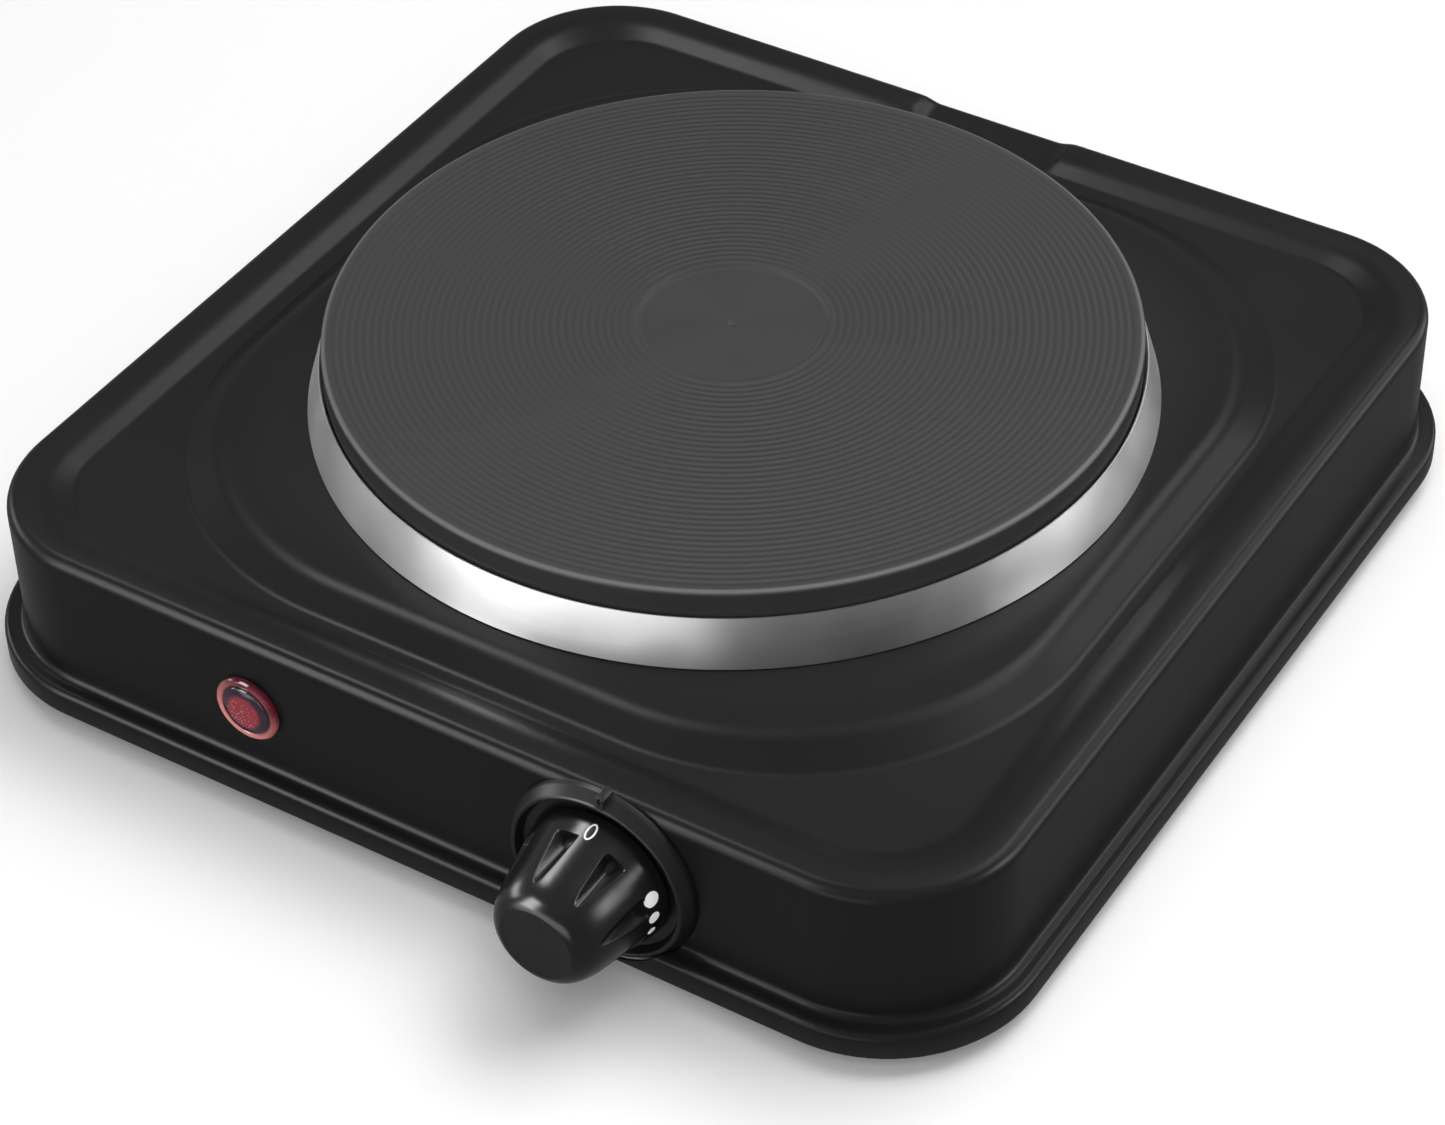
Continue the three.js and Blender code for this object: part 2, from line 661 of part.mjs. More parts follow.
// Hollow knob with a rounded nose, finger flutes and a hub for the spindle.
function knob() {
  const bore = SPINDLE_R + GAP;
  const boreEnd = SPINDLE_OUTER_END + 0.5;
  const hubStart = 4.6;
  const noseStart = KNOB_REACH - KNOB_NOSE;
  const nose = [];
  for (let step = 0; step <= 5; step += 1) {
    const angle = (Math.PI / 2) * (step / 5);
    const r = KNOB_FACE_R + (KNOB_SHOULDER_R - KNOB_FACE_R) * Math.cos(angle);
    nose.push([r, noseStart + KNOB_NOSE * Math.sin(angle)]);
  }
  const body = turned(
    [
      [0, boreEnd], [bore, boreEnd], [bore, hubStart], [KNOB_HUB_R, hubStart],
      [KNOB_HUB_R, KNOB_CEILING], [11.5, KNOB_CEILING], [KNOB_BASE_R - 2, KNOB_SKIRT],
      [KNOB_BASE_R, KNOB_SKIRT], ...nose, [0, KNOB_REACH],
    ],
    28,
  );
  return cut(body, ...fingerFlutes());
}

function fingerFlutes() {
  const [halfWidth, depth, halfLength, middle] = [2.7, 2, 7, 14];
  const flutes = [];
  for (let i = 0; i < FLUTES; i += 1) {
    const flute = new THREE.SphereGeometry(1, 8, 5);
    flute.scale(halfWidth, depth, halfLength).translate(0, KNOB_SHOULDER_R + 0.9, middle);
    flutes.push(flute.rotateZ((2 * Math.PI * (i + 0.5)) / FLUTES));
  }
  return flutes;
}

// Spring steel strip between the knob's bore and the flat of the spindle.
function springClip() {
  const [top, length, half] = [SPINDLE_OUTER_END - GAP, 9, 1.6];
  const low = SPINDLE_FLAT + GAP;
  return block(-half, half, low, low + 0.4, top - length, top);
}

// Fixed cup around the foot of the knob, with a pointer rib on top.
function knobBezel() {
  const floor = 1.8;
  const cup = turnedRing(
    [
      [KNOB_HUB_R, GAP], [BEZEL_R, GAP], [BEZEL_R - 0.3, floor],
      [BEZEL_R - 1.6, BEZEL_REACH - 0.3], [BEZEL_R - 2.2, BEZEL_REACH],
      [BEZEL_R - 2.8, BEZEL_REACH - 0.2], [BEZEL_R - 3.4, floor], [KNOB_HUB_R, floor],
    ],
    28,
  );
  const rib = block(-0.9, 0.9, BEZEL_R - 2.4, BEZEL_R + 0.8, GAP, BEZEL_REACH - 0.1);
  return cut(join(cup, rib), ...screwHoles(2.3));
}

// Cutters for the two thermostat screws.
const screwHoles = (radius) =>
  [-1, 1].map((side) => rod(radius, -8, 4, 10).translate((side * SCREW_PITCH) / 2, 0, 0));

// Spindle with a flat for the knob and a bore at its inner end that drives the adjusting pin.
function spindle() {
  const [boreR, flatLength, chamfer] = [2.3, 12, 0.5];
  const shaft = turned(
    [
      [0, PIN_SEAT], [boreR, PIN_SEAT], [boreR, SPINDLE_INNER_END], [SPINDLE_R, SPINDLE_INNER_END],
      [SPINDLE_R, SPINDLE_OUTER_END - chamfer], [SPINDLE_R - chamfer, SPINDLE_OUTER_END],
      [0, SPINDLE_OUTER_END],
    ],
    16,
  );
  return cut(shaft, block(-4, 4, SPINDLE_FLAT, 5, SPINDLE_OUTER_END - flatLength, 20));
}

function spindleBush() {
  const [bore, outer, low, high] = [SPINDLE_R + 0.2, 4.6, -9.3, 2.2];
  return turnedRing([[bore, low], [outer, low], [outer, high], [bore, high]], 18);
}

// Ceramic block: a land for the blade stack on the left and a step for the fixed contact.
function thermostatBlock() {
  const [landEnd, stepStart, halfHeight] = [-10, 7, 9];
  const outline = [
    [-BLOCK_HALF, BLOCK_FACE], [-BLOCK_HALF, BLOCK_LAND], [landEnd, BLOCK_LAND],
    [landEnd, BLOCK_BACK], [stepStart, BLOCK_BACK], [stepStart, BLOCK_STEP],
    [BLOCK_HALF, BLOCK_STEP], [BLOCK_HALF, BLOCK_FACE],
  ];
  const shape = new THREE.Shape(outline.map(([x, height]) => new THREE.Vector2(x, height)));
  const body = extruded(shape, 2 * halfHeight).rotateX(Math.PI / 2).translate(0, halfHeight, 0);
  return cut(
    body,
    rod(5, -12, 0, 12),
    rod(2.2, -20, -11, 10),
    rod(RIVET_HOLE_R, -20, -14, 10).translate(BLADE_ROOT, 0, 0),
    ...screwHoles(2),
  );
}

function thermostatBracket() {
  const plate = block(-20, 20, -10, 10, BLOCK_FACE + GAP, -SHEET - GAP);
  return cut(plate, rod(5, -4, 0, 12), ...screwHoles(2));
}

// Strip with a contact button. It closes on the fixed contact.
function contactBlade() {
  const [low, high] = [-19.9, -19.4];
  const strip = block(-16, CONTACT_X + 1.5, -3.5, 3.5, low, high);
  const button = rod(1.8, high - 0.2, high + 1, 12).translate(CONTACT_X, 0, 0);
  return cut(join(strip, button), rod(2, low - 1, high + 0.4, 12).translate(BLADE_ROOT, 0, 0));
}

function fixedContact() {
  const high = BLOCK_STEP - GAP;
  const strip = block(8, 22, -3, 3, high - 0.6, high);
  return join(strip, rod(1.8, high - 1.9, high - 0.4, 12).translate(CONTACT_X, 0, 0));
}

const rivetHole = () => rod(RIVET_HOLE_R, -30, 0, 10).translate(BLADE_ROOT, 0, 0);

function bladeSpacer() {
  return cut(block(-BLOCK_HALF, -10, -4, 4, -21.4, -20.2), rivetHole());
}

function bimetalBlade() {
  return cut(block(-BLOCK_HALF, 16, -4, 4, -22.4, -21.7), rivetHole());
}

function bladeRivet() {
  const [head, tip, shank] = [-23.4, -14.6, 1.1];
  const underHead = head + 0.7;
  const profile = [[0, head], [2, head], [2.2, underHead], [shank, underHead], [shank, tip], [0, tip]];
  return turned(profile, 12).translate(BLADE_ROOT, 0, 0);
}

// A screw's head lies in the bezel, under the knob.
const thermostatScrew = (side) =>
  screwDown(3, 1.6, 1.6, 3.7, -7, 10).translate((side * SCREW_PITCH) / 2, 0, 0);

function addControl() {
  const wall = onWall(KNOB_X, KNOB_H, -1);
  add('knob', knob(), BLACK_PLASTIC, wall);
  add('knob_spring_clip', springClip(), STAINLESS, wall);
  add('knob_bezel', knobBezel(), BLACK_PLASTIC, wall);
  add('thermostat_spindle', spindle(), BRASS, wall);
  add('thermostat_bush', spindleBush(), BRASS, wall);
  add('thermostat_bracket', thermostatBracket(), GALVANISED, wall);
  add('thermostat_block', thermostatBlock(), CERAMIC, wall);
  add('adjusting_pin', rod(1.7, BLOCK_LAND, -8.8, 12), CERAMIC, wall);
  add('contact_blade', contactBlade(), BRASS, wall);
  add('fixed_contact', fixedContact(), BRASS, wall);
  add('blade_spacer', bladeSpacer(), CERAMIC, wall);
  add('bimetal_blade', bimetalBlade(), STAINLESS, wall);
  add('blade_rivet', bladeRivet(), BRASS, wall);
  add('thermostat_screw_left', thermostatScrew(-1), ZINC_STEEL, wall);
  add('thermostat_screw_right', thermostatScrew(1), ZINC_STEEL, wall);
}

// ---------------------------------------------------------------- lamp, in the same directions

// Moulded lens: a flange on the wall, a sunk face and a sleeve that reaches inside.
function lampLens() {
  const inside = LAMP_SLEEVE_R - 1.2;
  const [bandR, padR, padTop] = [4.3, 3.9, 1];
  return turned(
    [
      [0, -1], [inside - 0.8, -1], [inside, -2], [inside, LAMP_SLEEVE_END],
      [LAMP_SLEEVE_R, LAMP_SLEEVE_END], [LAMP_SLEEVE_R, GAP], [LAMP_FLANGE_R, GAP],
      [LAMP_FLANGE_R, 0.9], [LAMP_FLANGE_R - 0.5, 1.6], [LAMP_FLANGE_R - 1.3, 1.9],
      [LAMP_FLANGE_R - 2.3, 1.3], [bandR, padTop - 0.2], [padR, padTop], [0, padTop],
    ],
    20,
  );
}

// Steel push-on ring that holds the lens against the wall.
function lampClip() {
  const [hole, rim, sheet] = [LAMP_SLEEVE_R + GAP, 10, 0.6];
  const [holeLow, rimLow] = [-2.6, -2.2];
  return turnedRing([[hole, holeLow], [rim, rimLow], [rim, rimLow + sheet], [hole, holeLow + sheet]], 16);
}

// Neon bulb with a round tip that points out of the wall.
function lampBulb() {
  const [radius, low, tipCentre] = [2.4, -13.2, -4.6];
  return turned(
    [[0, low], [radius - 0.8, low], [radius, low + 0.8], ...arc(0, tipCentre, radius, 0, 90, 3)],
    12,
  );
}

// Cap that closes the sleeve from inside the housing, with two ways out for the lamp's leads.
function lampCap() {
  const [rim, spigot, back] = [7, LAMP_SLEEVE_R - 1.6, LAMP_SLEEVE_END - 3];
  const [seat, front] = [LAMP_SLEEVE_END - 0.4, LAMP_SLEEVE_END + 1];
  const plug = turned(
    [[0, back], [rim, back], [rim, seat], [spigot, seat], [spigot, front], [0, front]],
    14,
  );
  const way = (x) => rod(1.5, back - 2, front + 4, 8).translate(x, 0, 0);
  return cut(plug, way(-LAMP_LEAD_X), way(LAMP_LEAD_X));
}

function addLamp() {
  const wall = onWall(LAMP_X, LAMP_H, -1);
  add('lamp_lens', lampLens(), RED_LENS, wall);
  add('lamp_clip', lampClip(), STAINLESS, wall);
  add('lamp_bulb', lampBulb(), CLEAR_GLASS, wall);
  add('lamp_cap', lampCap(), CERAMIC, wall);
}

// ---------------------------------------------------------------- mains entry and wiring

// Rubber grommet with a groove that grips the wall and a bore for the cord.
function cordGland() {
  const inside = -SHEET - GAP;
  return turnedRing(
    [
      [GLAND_BORE_R, inside - 3], [8.4, inside - 3], [9, inside], [GLAND_NECK_R, inside],
      [GLAND_NECK_R, GAP], [9.4, GAP], [9.4, 1.6], [7.6, 3.2], [GLAND_BORE_R + 0.6, 3.2],
      [GLAND_BORE_R, 2.6],
    ],
    18,
  );
}

// Three-way block on the base pan, with a wire entry for each terminal on its front.
function mainsTerminalBlock() {
  const [x, y] = TERMINAL_BLOCK;
  const low = PAN_BOTTOM + SHEET + GAP;
  const entries = Object.values(TERMINALS).map((entry) =>
    rod(1.8, -6, 6, 10).rotateX(Math.PI / 2).translate(entry, y - 8, TERMINAL_H));
  const body = block(x - 15, x + 23, y - 8, y + 8, low, low + TERMINAL_BLOCK_H);
  return cut(body, rod(2, 0, 20, 10).translate(x, y, 0), ...entries);
}

function addMainsEntry() {
  const blockTop = PAN_BOTTOM + SHEET + GAP + TERMINAL_BLOCK_H;
  const tip = PAN_BOTTOM - 0.2;
  const blockScrew = screwDown(3.4, 1.6, 1.5, blockTop + GAP + 1.6, tip, 12);
  const earthScrew = screwDown(3.6, 1.8, 1.6, 4.9, tip, 12);
  add('cord_gland', cordGland(), BLACK_RUBBER, onWall(GLAND_X, GLAND_H, 1));
  add('mains_terminal_block', mainsTerminalBlock(), CERAMIC);
  add('terminal_block_screw', blockScrew, ZINC_STEEL).position.set(...TERMINAL_BLOCK, 0);
  add('earth_screw', earthScrew, BRASS).position.set(...EARTH_SCREW, 0);
}

// ---------------------------------------------------------------- wiring
// Each lead runs through points chosen by hand, clear of the pieces around it.

const addLead = (name, sleeve, steps, points) => add(name, tube(points, LEAD_R, steps), sleeve);

function addMainsLeads() {
  const start = TERMINAL_BLOCK[1] - 4;
  const [outerX, outerY] = coilEnd(COIL_OUTER_R);
  const [innerX, innerY] = coilEnd(COIL_INNER_R);
  const pinEnd = PIN_LOW - 0.6;
  addLead('live_supply_lead', WIRE_SLEEVES.live, 24, [
    [TERMINALS.live, start, TERMINAL_H], [TERMINALS.live, 78, 7], [-70, 40, 4], [-72, -10, 4],
    [-60, -60, 4], [-20, -92, 4], [35, -96, 5], [62, -97, 10], [71, -104, 18], [70, -112, KNOB_H],
  ]);
  addLead('switched_live_lead', WIRE_SLEEVES.switched, 14, [
    [28, -109, KNOB_H], [22, -107, 21], [17, -98, 19], [22, -82, 18],
    [outerX - 4, outerY - 5, 20], [outerX, outerY, 24], [outerX, outerY, pinEnd],
  ]);
  addLead('neutral_lead', WIRE_SLEEVES.neutral, 20, [
    [TERMINALS.neutral, start, TERMINAL_H], [TERMINALS.neutral, 74, 7], [-40, 40, 4], [-28, 0, 4],
    [0, -34, 8], [innerX - 5, innerY - 2, 18], [innerX, innerY, 24], [innerX, innerY, pinEnd],
  ]);
  addLead('earth_lead', WIRE_SLEEVES.earth, 12, [
    [TERMINALS.earth, start, TERMINAL_H], [TERMINALS.earth, 80, 8], [-31, 74, 7], [-23, 78, 6],
    [-20, 87, 6], [EARTH_SCREW[0], EARTH_SCREW[1] - 4.8, 4.4],
  ]);
}

function addLampLeads() {
  const [right, left] = [LAMP_X + LAMP_LEAD_X, LAMP_X - LAMP_LEAD_X];
  addLead('lamp_live_lead', WIRE_SLEEVES.switched, 16, [
    [right, -112, LAMP_H], [right, -105, LAMP_H], [-34, -97, 20], [-10, -103, 17],
    [14, -112, 16], [24, -112, 17],
  ]);
  addLead('lamp_neutral_lead', WIRE_SLEEVES.neutral, 22, [
    [left, -112, LAMP_H], [left, -108, LAMP_H], [left, -104, LAMP_H], [-54, -94, 16],
    [-84, -70, 6], [-94, -20, 4], [-92, 40, 5], [-84, 80, 8], [-74, 92, 9],
  ]);
}

// ---------------------------------------------------------------- the whole object

add('housing_shell', housingShell(), BLACK_ENAMEL);
add('base_pan', basePan(), GALVANISED);
addFeet();
addHotPlate();
addControl();
addLamp();
addMainsEntry();
addMainsLeads();
addLampLeads();

const hotPlateBurner = new THREE.Group();
hotPlateBurner.add(drawing);

export default hotPlateBurner;
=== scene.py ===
import json
import math

import bmesh
import bpy
import numpy as np
from mathutils import Matrix, Vector


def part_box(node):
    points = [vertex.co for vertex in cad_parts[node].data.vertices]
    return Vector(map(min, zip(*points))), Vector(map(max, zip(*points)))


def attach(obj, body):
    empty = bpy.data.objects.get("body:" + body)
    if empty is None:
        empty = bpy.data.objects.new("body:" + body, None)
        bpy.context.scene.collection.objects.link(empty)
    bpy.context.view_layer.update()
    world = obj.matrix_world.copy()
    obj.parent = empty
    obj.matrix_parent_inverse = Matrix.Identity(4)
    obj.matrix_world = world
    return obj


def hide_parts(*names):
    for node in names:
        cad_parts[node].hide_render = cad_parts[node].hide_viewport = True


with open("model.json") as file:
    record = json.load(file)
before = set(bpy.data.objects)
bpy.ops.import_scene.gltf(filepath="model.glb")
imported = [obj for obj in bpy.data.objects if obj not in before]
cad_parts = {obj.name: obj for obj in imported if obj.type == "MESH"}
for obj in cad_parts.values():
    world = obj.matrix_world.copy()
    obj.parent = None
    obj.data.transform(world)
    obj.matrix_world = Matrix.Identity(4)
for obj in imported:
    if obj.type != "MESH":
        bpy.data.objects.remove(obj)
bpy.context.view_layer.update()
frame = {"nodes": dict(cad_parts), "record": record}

# Lengths are in millimetres, in the drawing of the object: around the hot plate's own axis, with
# heights counted from the lower edge of the housing's flange. DRAWING puts that on its feet in metres.

# ---------------------------------------------------------------- driving dimensions

SHEET = 1.0
BODY_HALF, BODY_STRAIGHT = 127.3, 95.0
RIM_H, RIM_ROUND = 41.8, 3.0
RIM_INNER_HALF = 119.4
DECK_H, DECK_HALF = 39.2, 113.6
PLATFORM_H = 43.2
PLATFORM_FOOT_HALF, PLATFORM_FOOT_STRAIGHT = 110.0, 40.0
PLATFORM_TOP_HALF, PLATFORM_TOP_STRAIGHT = 103.4, 37.0
PLATE_HOLE_R = 88.5
FLANGE_HALF, FLANGE_STRAIGHT, FLANGE_H, FLANGE_FILLET = 132.0, 96.0, 6.2, 2.0
FLAT = 0.6  # a level strip beside a bend, which keeps the shading of the large faces level
NOTCH_HALF, NOTCH_RAMP, NOTCH_DEPTH, NOTCH_OUTER_DEPTH = 16.5, 5.5, 2.1, 0.9
SIDE_COLUMNS, NOTCH_COLUMNS, CORNER_STEPS = 19, 41, 22
HOLE_REACH = 8.0  # a hole's cutter reaches this far to both sides of the wall's face

PAN_HALF, PAN_LOW, PAN_TOP, PAN_CORNER_IN, PAN_BEND = 130.4, 0.6, 4.2, 20.0, 1.6
VENT_X, VENT_LENGTH, VENT_WIDTH, VENT_PITCH, VENT_ROWS = 45.0, 48.0, 5.0, 12.0, 3
PAN_HOLE_R, FOOT_REACH = 2.6, 100.0
FITTING_SCREWS = [(-55, 96), (-20, 96)]  # the mains terminal block's and the earth's, in plan

PLATE_R, PLATE_TOP, PLATE_EDGE_ROUND = 93.2, 61.3, 1.1
PLATE_SHOULDER = 44.5
PLATE_RIB_IN, PLATE_RIB_OUT, PLATE_RIB_BOTTOM = 82.0, 86.0, 41.0
CAVITY_TOP = 52.0
BOSS_R, BOSS_BOTTOM, STUD_R = 26.0, 44.3, 3.0
RECESS_R, RECESS_DEPTH = 21.3, 0.8
GROOVES, GROOVE_IN, GROOVE_OUT, GROOVE_DEPTH = 39, 22.9, 91.0, 0.14
FINE_GROOVES, FINE_IN, FINE_OUT, FINE_DEPTH = 20, 1.4, 20.6, 0.05

RING_R, RING_TOP_R, RING_TOP, RING_WALL = 97.5, 94.2, 55.0, 0.6

KNOB_REACH, KNOB_FACE_R, KNOB_SHOULDER_R, KNOB_BASE_R, KNOB_NOSE = 26.5, 8.8, 15.0, 17.2, 14.0
KNOB_SKIRT, KNOB_CEILING, KNOB_HUB_R, SPINDLE_R, SPINDLE_END = 2.6, 15.5, 5.4, 3.0, 17.7
KNOB_HUB_END, KNOB_HOLLOW_R = 4.6, 11.5
FLUTES, FLUTE_FOOT, FLUTE_FLOOR_R, FLUTE_TURN = 8, 8.4, 12.9, -11.5
FLUTE_HALF, FLUTE_DEEP, FLUTE_BEND = 3.1, 3.4, 1.7
POINTER_TURN = 5.0
ZERO_MARK = (POINTER_TURN, 6.7, 1.1, 2.05)  # angle, height, half its width and half its length
ZERO_STROKE = 0.42
DOTS = ((75, 6.8, 3.6), (92.5, 6.9, 2.8), (107.5, 7.0, 2.0))  # angle, height and diameter
NOSE_CREASE, NOSE_STEPS = math.radians(20), 60
BEZEL_R, BEZEL_REACH, BEZEL_FLOOR = 22.8, 4.3, 1.8
SCREW_PITCH, SCREW_HOLE_R = 22.0, 2.3
GAP = 0.3

LAMP_FLANGE_R, LAMP_BAND_R, LAMP_PAD_R = 8.1, 6.3, 4.3
LAMP_SLEEVE_R, LAMP_SLEEVE_END = 6.2, -15.0
GLAND_BORE_R, GLAND_NECK_R, GLAND_FLANGE_R, GLAND_TOP = 4.2, 6.8, 9.35, 3.2
FOOT_BORE_R, FOOT_HOLE_R, FOOT_BOTTOM_R, FOOT_NECK = 4.9, 2.7, 8.2, 2.9

# The camera, in the drawing's own lengths, and its turns about X, Y and Z in degrees.
CAMERA_PLACE = (383.05, -602.55, 607.54)
CAMERA_TURNS = (49.094, 1.071, 31.806)
CAMERA_LENS = 98.86

MM = 0.001


def middle(node):
    low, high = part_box(node)
    return (low + high) / 2


AXIS = middle("hotplate_casting")
FLANGE_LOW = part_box("housing_shell")[0].z
DRAWING = Matrix.Translation((AXIS.x, AXIS.y, FLANGE_LOW)) @ Matrix.Scale(MM, 4)


def on_wall(node, side):
    """A place on the face of the front (side -1) or rear (side 1) wall, at a node's middle.

    Local +Z points out of the wall.
    """
    place = middle(node)
    place.y = AXIS.y + side * BODY_HALF * MM
    turn = Matrix.Rotation(-side * math.pi / 2, 4, "X")
    return Matrix.Translation(place) @ turn @ Matrix.Scale(MM, 4)


# ---------------------------------------------------------------- mesh tools


def add_mesh(name, points, faces, place=DRAWING, sharp=32):
    """A smooth object in metres from points in millimetres. Edges over an angle stay sharp."""
    matrix = np.array(place)
    moved = np.asarray(points, float) @ matrix[:3, :3].T + matrix[:3, 3]
    mesh = bpy.data.meshes.new(name)
    mesh.from_pydata(moved.tolist(), [], faces)
    finish_mesh(mesh, sharp)
    piece = bpy.data.objects.new(name, mesh)
    bpy.context.scene.collection.objects.link(piece)
    return piece


def finish_mesh(mesh, sharp):
    """Joins doubled points, drops empty faces, turns all faces outwards and sets the shading."""
    work = bmesh.new()
    work.from_mesh(mesh)
    bmesh.ops.remove_doubles(work, verts=work.verts, dist=1e-7)
    bmesh.ops.dissolve_degenerate(work, edges=work.edges, dist=1e-7)
    bmesh.ops.recalc_face_normals(work, faces=work.faces)
    work.to_mesh(mesh)
    work.free()
    mesh.shade_smooth()
    mesh.set_sharp_from_angle(angle=math.radians(sharp))


def rounded(corners, closed=False, steps=5):
    """Points (x, y, corner index) along a line through corners (x, y, radius), each bent to an arc."""
    out = []
    count = len(corners)
    for i, corner in enumerate(corners):
        here, radius = np.array(corner[:2], float), corner[2]
        at_end = not closed and i in (0, count - 1)
        if radius == 0 or at_end:
            out.append((here[0], here[1], i))
            continue
        before = np.array(corners[i - 1][:2], float) - here
        after = np.array(corners[(i + 1) % count][:2], float) - here
        before /= np.linalg.norm(before)
        after /= np.linalg.norm(after)
        half = math.acos(np.clip(before @ after, -1, 1)) / 2
        bisector = (before + after) / np.linalg.norm(before + after)
        centre = here + bisector * radius / math.sin(half)
        first = here + before * radius / math.tan(half) - centre
        last = here + after * radius / math.tan(half) - centre
        start = math.atan2(first[1], first[0])
        sweep = math.atan2(last[1], last[0]) - start
        sweep = (sweep + math.pi) % (2 * math.pi) - math.pi
        for step in range(steps + 1):
            angle = start + sweep * step / steps
            x = centre[0] + radius * math.cos(angle)
            y = centre[1] + radius * math.sin(angle)
            out.append((x, y, i))
    return out


def skin(rings, loop):
    """Points and faces of a surface over rings that each have the same number of points."""
    columns = len(rings[0])
    faces = []
    for i in range(len(rings) if loop else len(rings) - 1):
        a, b = i * columns, (i + 1) % len(rings) * columns
        for j in range(columns):
            k = (j + 1) % columns
            faces.append((a + j, a + k, b + k, b + j))
    return [point for ring in rings for point in ring], faces


def rounded_square(half, straight, steps=16):
    """Points (x, y) around a square with round corners, counter-clockwise."""
    ring = []
    corner = half - straight
    for quarter in range(4):
        turn = quarter * math.pi / 2 + math.pi / 4
        cx = math.sqrt(2) * straight * math.cos(turn)
        cy = math.sqrt(2) * straight * math.sin(turn)
        for step in range(steps + 1):
            angle = math.pi / 2 * (quarter + step / steps)
            ring.append((cx + corner * math.cos(angle), cy + corner * math.sin(angle)))
    return ring


def capped(rings):
    """A surface over rings, closed at both ends by one face each."""
    points, faces = skin(rings, loop=False)
    columns = len(rings[0])
    last = (len(rings) - 1) * columns
    faces.append(tuple(range(columns)))
    faces.append(tuple(range(last, last + columns)))
    return points, faces


def revolve(profile, segments):
    """Points and faces of a solid of revolution about +Z. A profile off the axis closes on itself."""
    on_axis = profile[0][0] == 0
    angles = np.linspace(0, 2 * math.pi, segments, endpoint=False)
    rings = [[(r * math.cos(a), r * math.sin(a), h) for a in angles] for r, h in profile if r > 0]
    points, faces = skin(rings, loop=not on_axis)
    if on_axis:
        for ring, height in ((0, profile[0][1]), (len(rings) - 1, profile[-1][1])):
            points.append((0, 0, height))
            first = ring * segments
            for j in range(segments):
                faces.append((first + j, first + (j + 1) % segments, len(points) - 1))
    return points, faces


def turned(name, corners, place=DRAWING, segments=96, steps=4, sharp=32):
    """A turned piece whose profile runs through corners (radius, height, bend)."""
    closed = corners[0][0] != 0
    profile = [(r, h) for r, h, _ in rounded(corners, closed, steps)]
    return add_mesh(name, *revolve(profile, segments), place, sharp)


def box_shape(low, high):
    """Points and faces of a box between two corners."""
    xs, ys, zs = zip(low, high)
    points = [(x, y, z) for x in xs for y in ys for z in zs]
    faces = [(0, 1, 3, 2), (4, 6, 7, 5), (0, 4, 5, 1), (2, 3, 7, 6), (0, 2, 6, 4), (1, 5, 7, 3)]
    return points, faces


def rod_shape(radius, low, high, segments=48):
    """Points and faces of a rod about +Z."""
    return revolve([(0, low), (radius, low), (radius, high), (0, high)], segments)


def moved(shape, x=0.0, y=0.0, turn=None):
    """A shape turned about the origin and then moved across."""
    points, faces = shape
    points = np.asarray(points, float)
    if turn is not None:
        points = points @ np.array(turn.to_3x3()).T
    return points + (x, y, 0), faces


def merged(shapes):
    """Several shapes as one."""
    points, faces = [], []
    for shape_points, shape_faces in shapes:
        faces += [tuple(i + len(points) for i in face) for face in shape_faces]
        points += [tuple(p) for p in shape_points]
    return points, faces


def combine(piece, shapes, operation, place=DRAWING, sharp=32):
    """Cuts shapes out of a piece (DIFFERENCE) or joins them to it (UNION)."""
    tool = add_mesh("tool", *merged(shapes), place)
    modifier = piece.modifiers.new("combine", "BOOLEAN")
    modifier.operation = operation
    modifier.solver = "EXACT"
    modifier.object = tool
    apply_modifiers(piece, sharp)
    bpy.data.objects.remove(tool)


def soften(piece, width_mm, segments=2, angle=40):
    """Rounds every edge sharper than an angle."""
    modifier = piece.modifiers.new("soften", "BEVEL")
    modifier.width = width_mm * MM
    modifier.segments = segments
    modifier.limit_method = "ANGLE"
    modifier.angle_limit = math.radians(angle)
    modifier.use_clamp_overlap = True
    apply_modifiers(piece, angle)


def apply_modifiers(piece, sharp):
    """Makes what a piece's modifiers give its mesh."""
    bpy.context.view_layer.update()
    evaluated = piece.evaluated_get(bpy.context.evaluated_depsgraph_get())
    piece.data = bpy.data.meshes.new_from_object(evaluated)
    piece.modifiers.clear()
    finish_mesh(piece.data, sharp)


def settle(piece, material, slot, *nodes, body="root"):
    """Gives a piece its material, hangs it under its body and hides the CAD nodes that it stands for."""
    piece.data.materials.clear()
    piece.data.materials.append(material)
    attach(piece, body)
    if nodes:
        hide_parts(*nodes)
    return piece


# ---------------------------------------------------------------- material tools

RANGE_SOCKETS = ("From Min", "From Max", "To Min", "To Max")


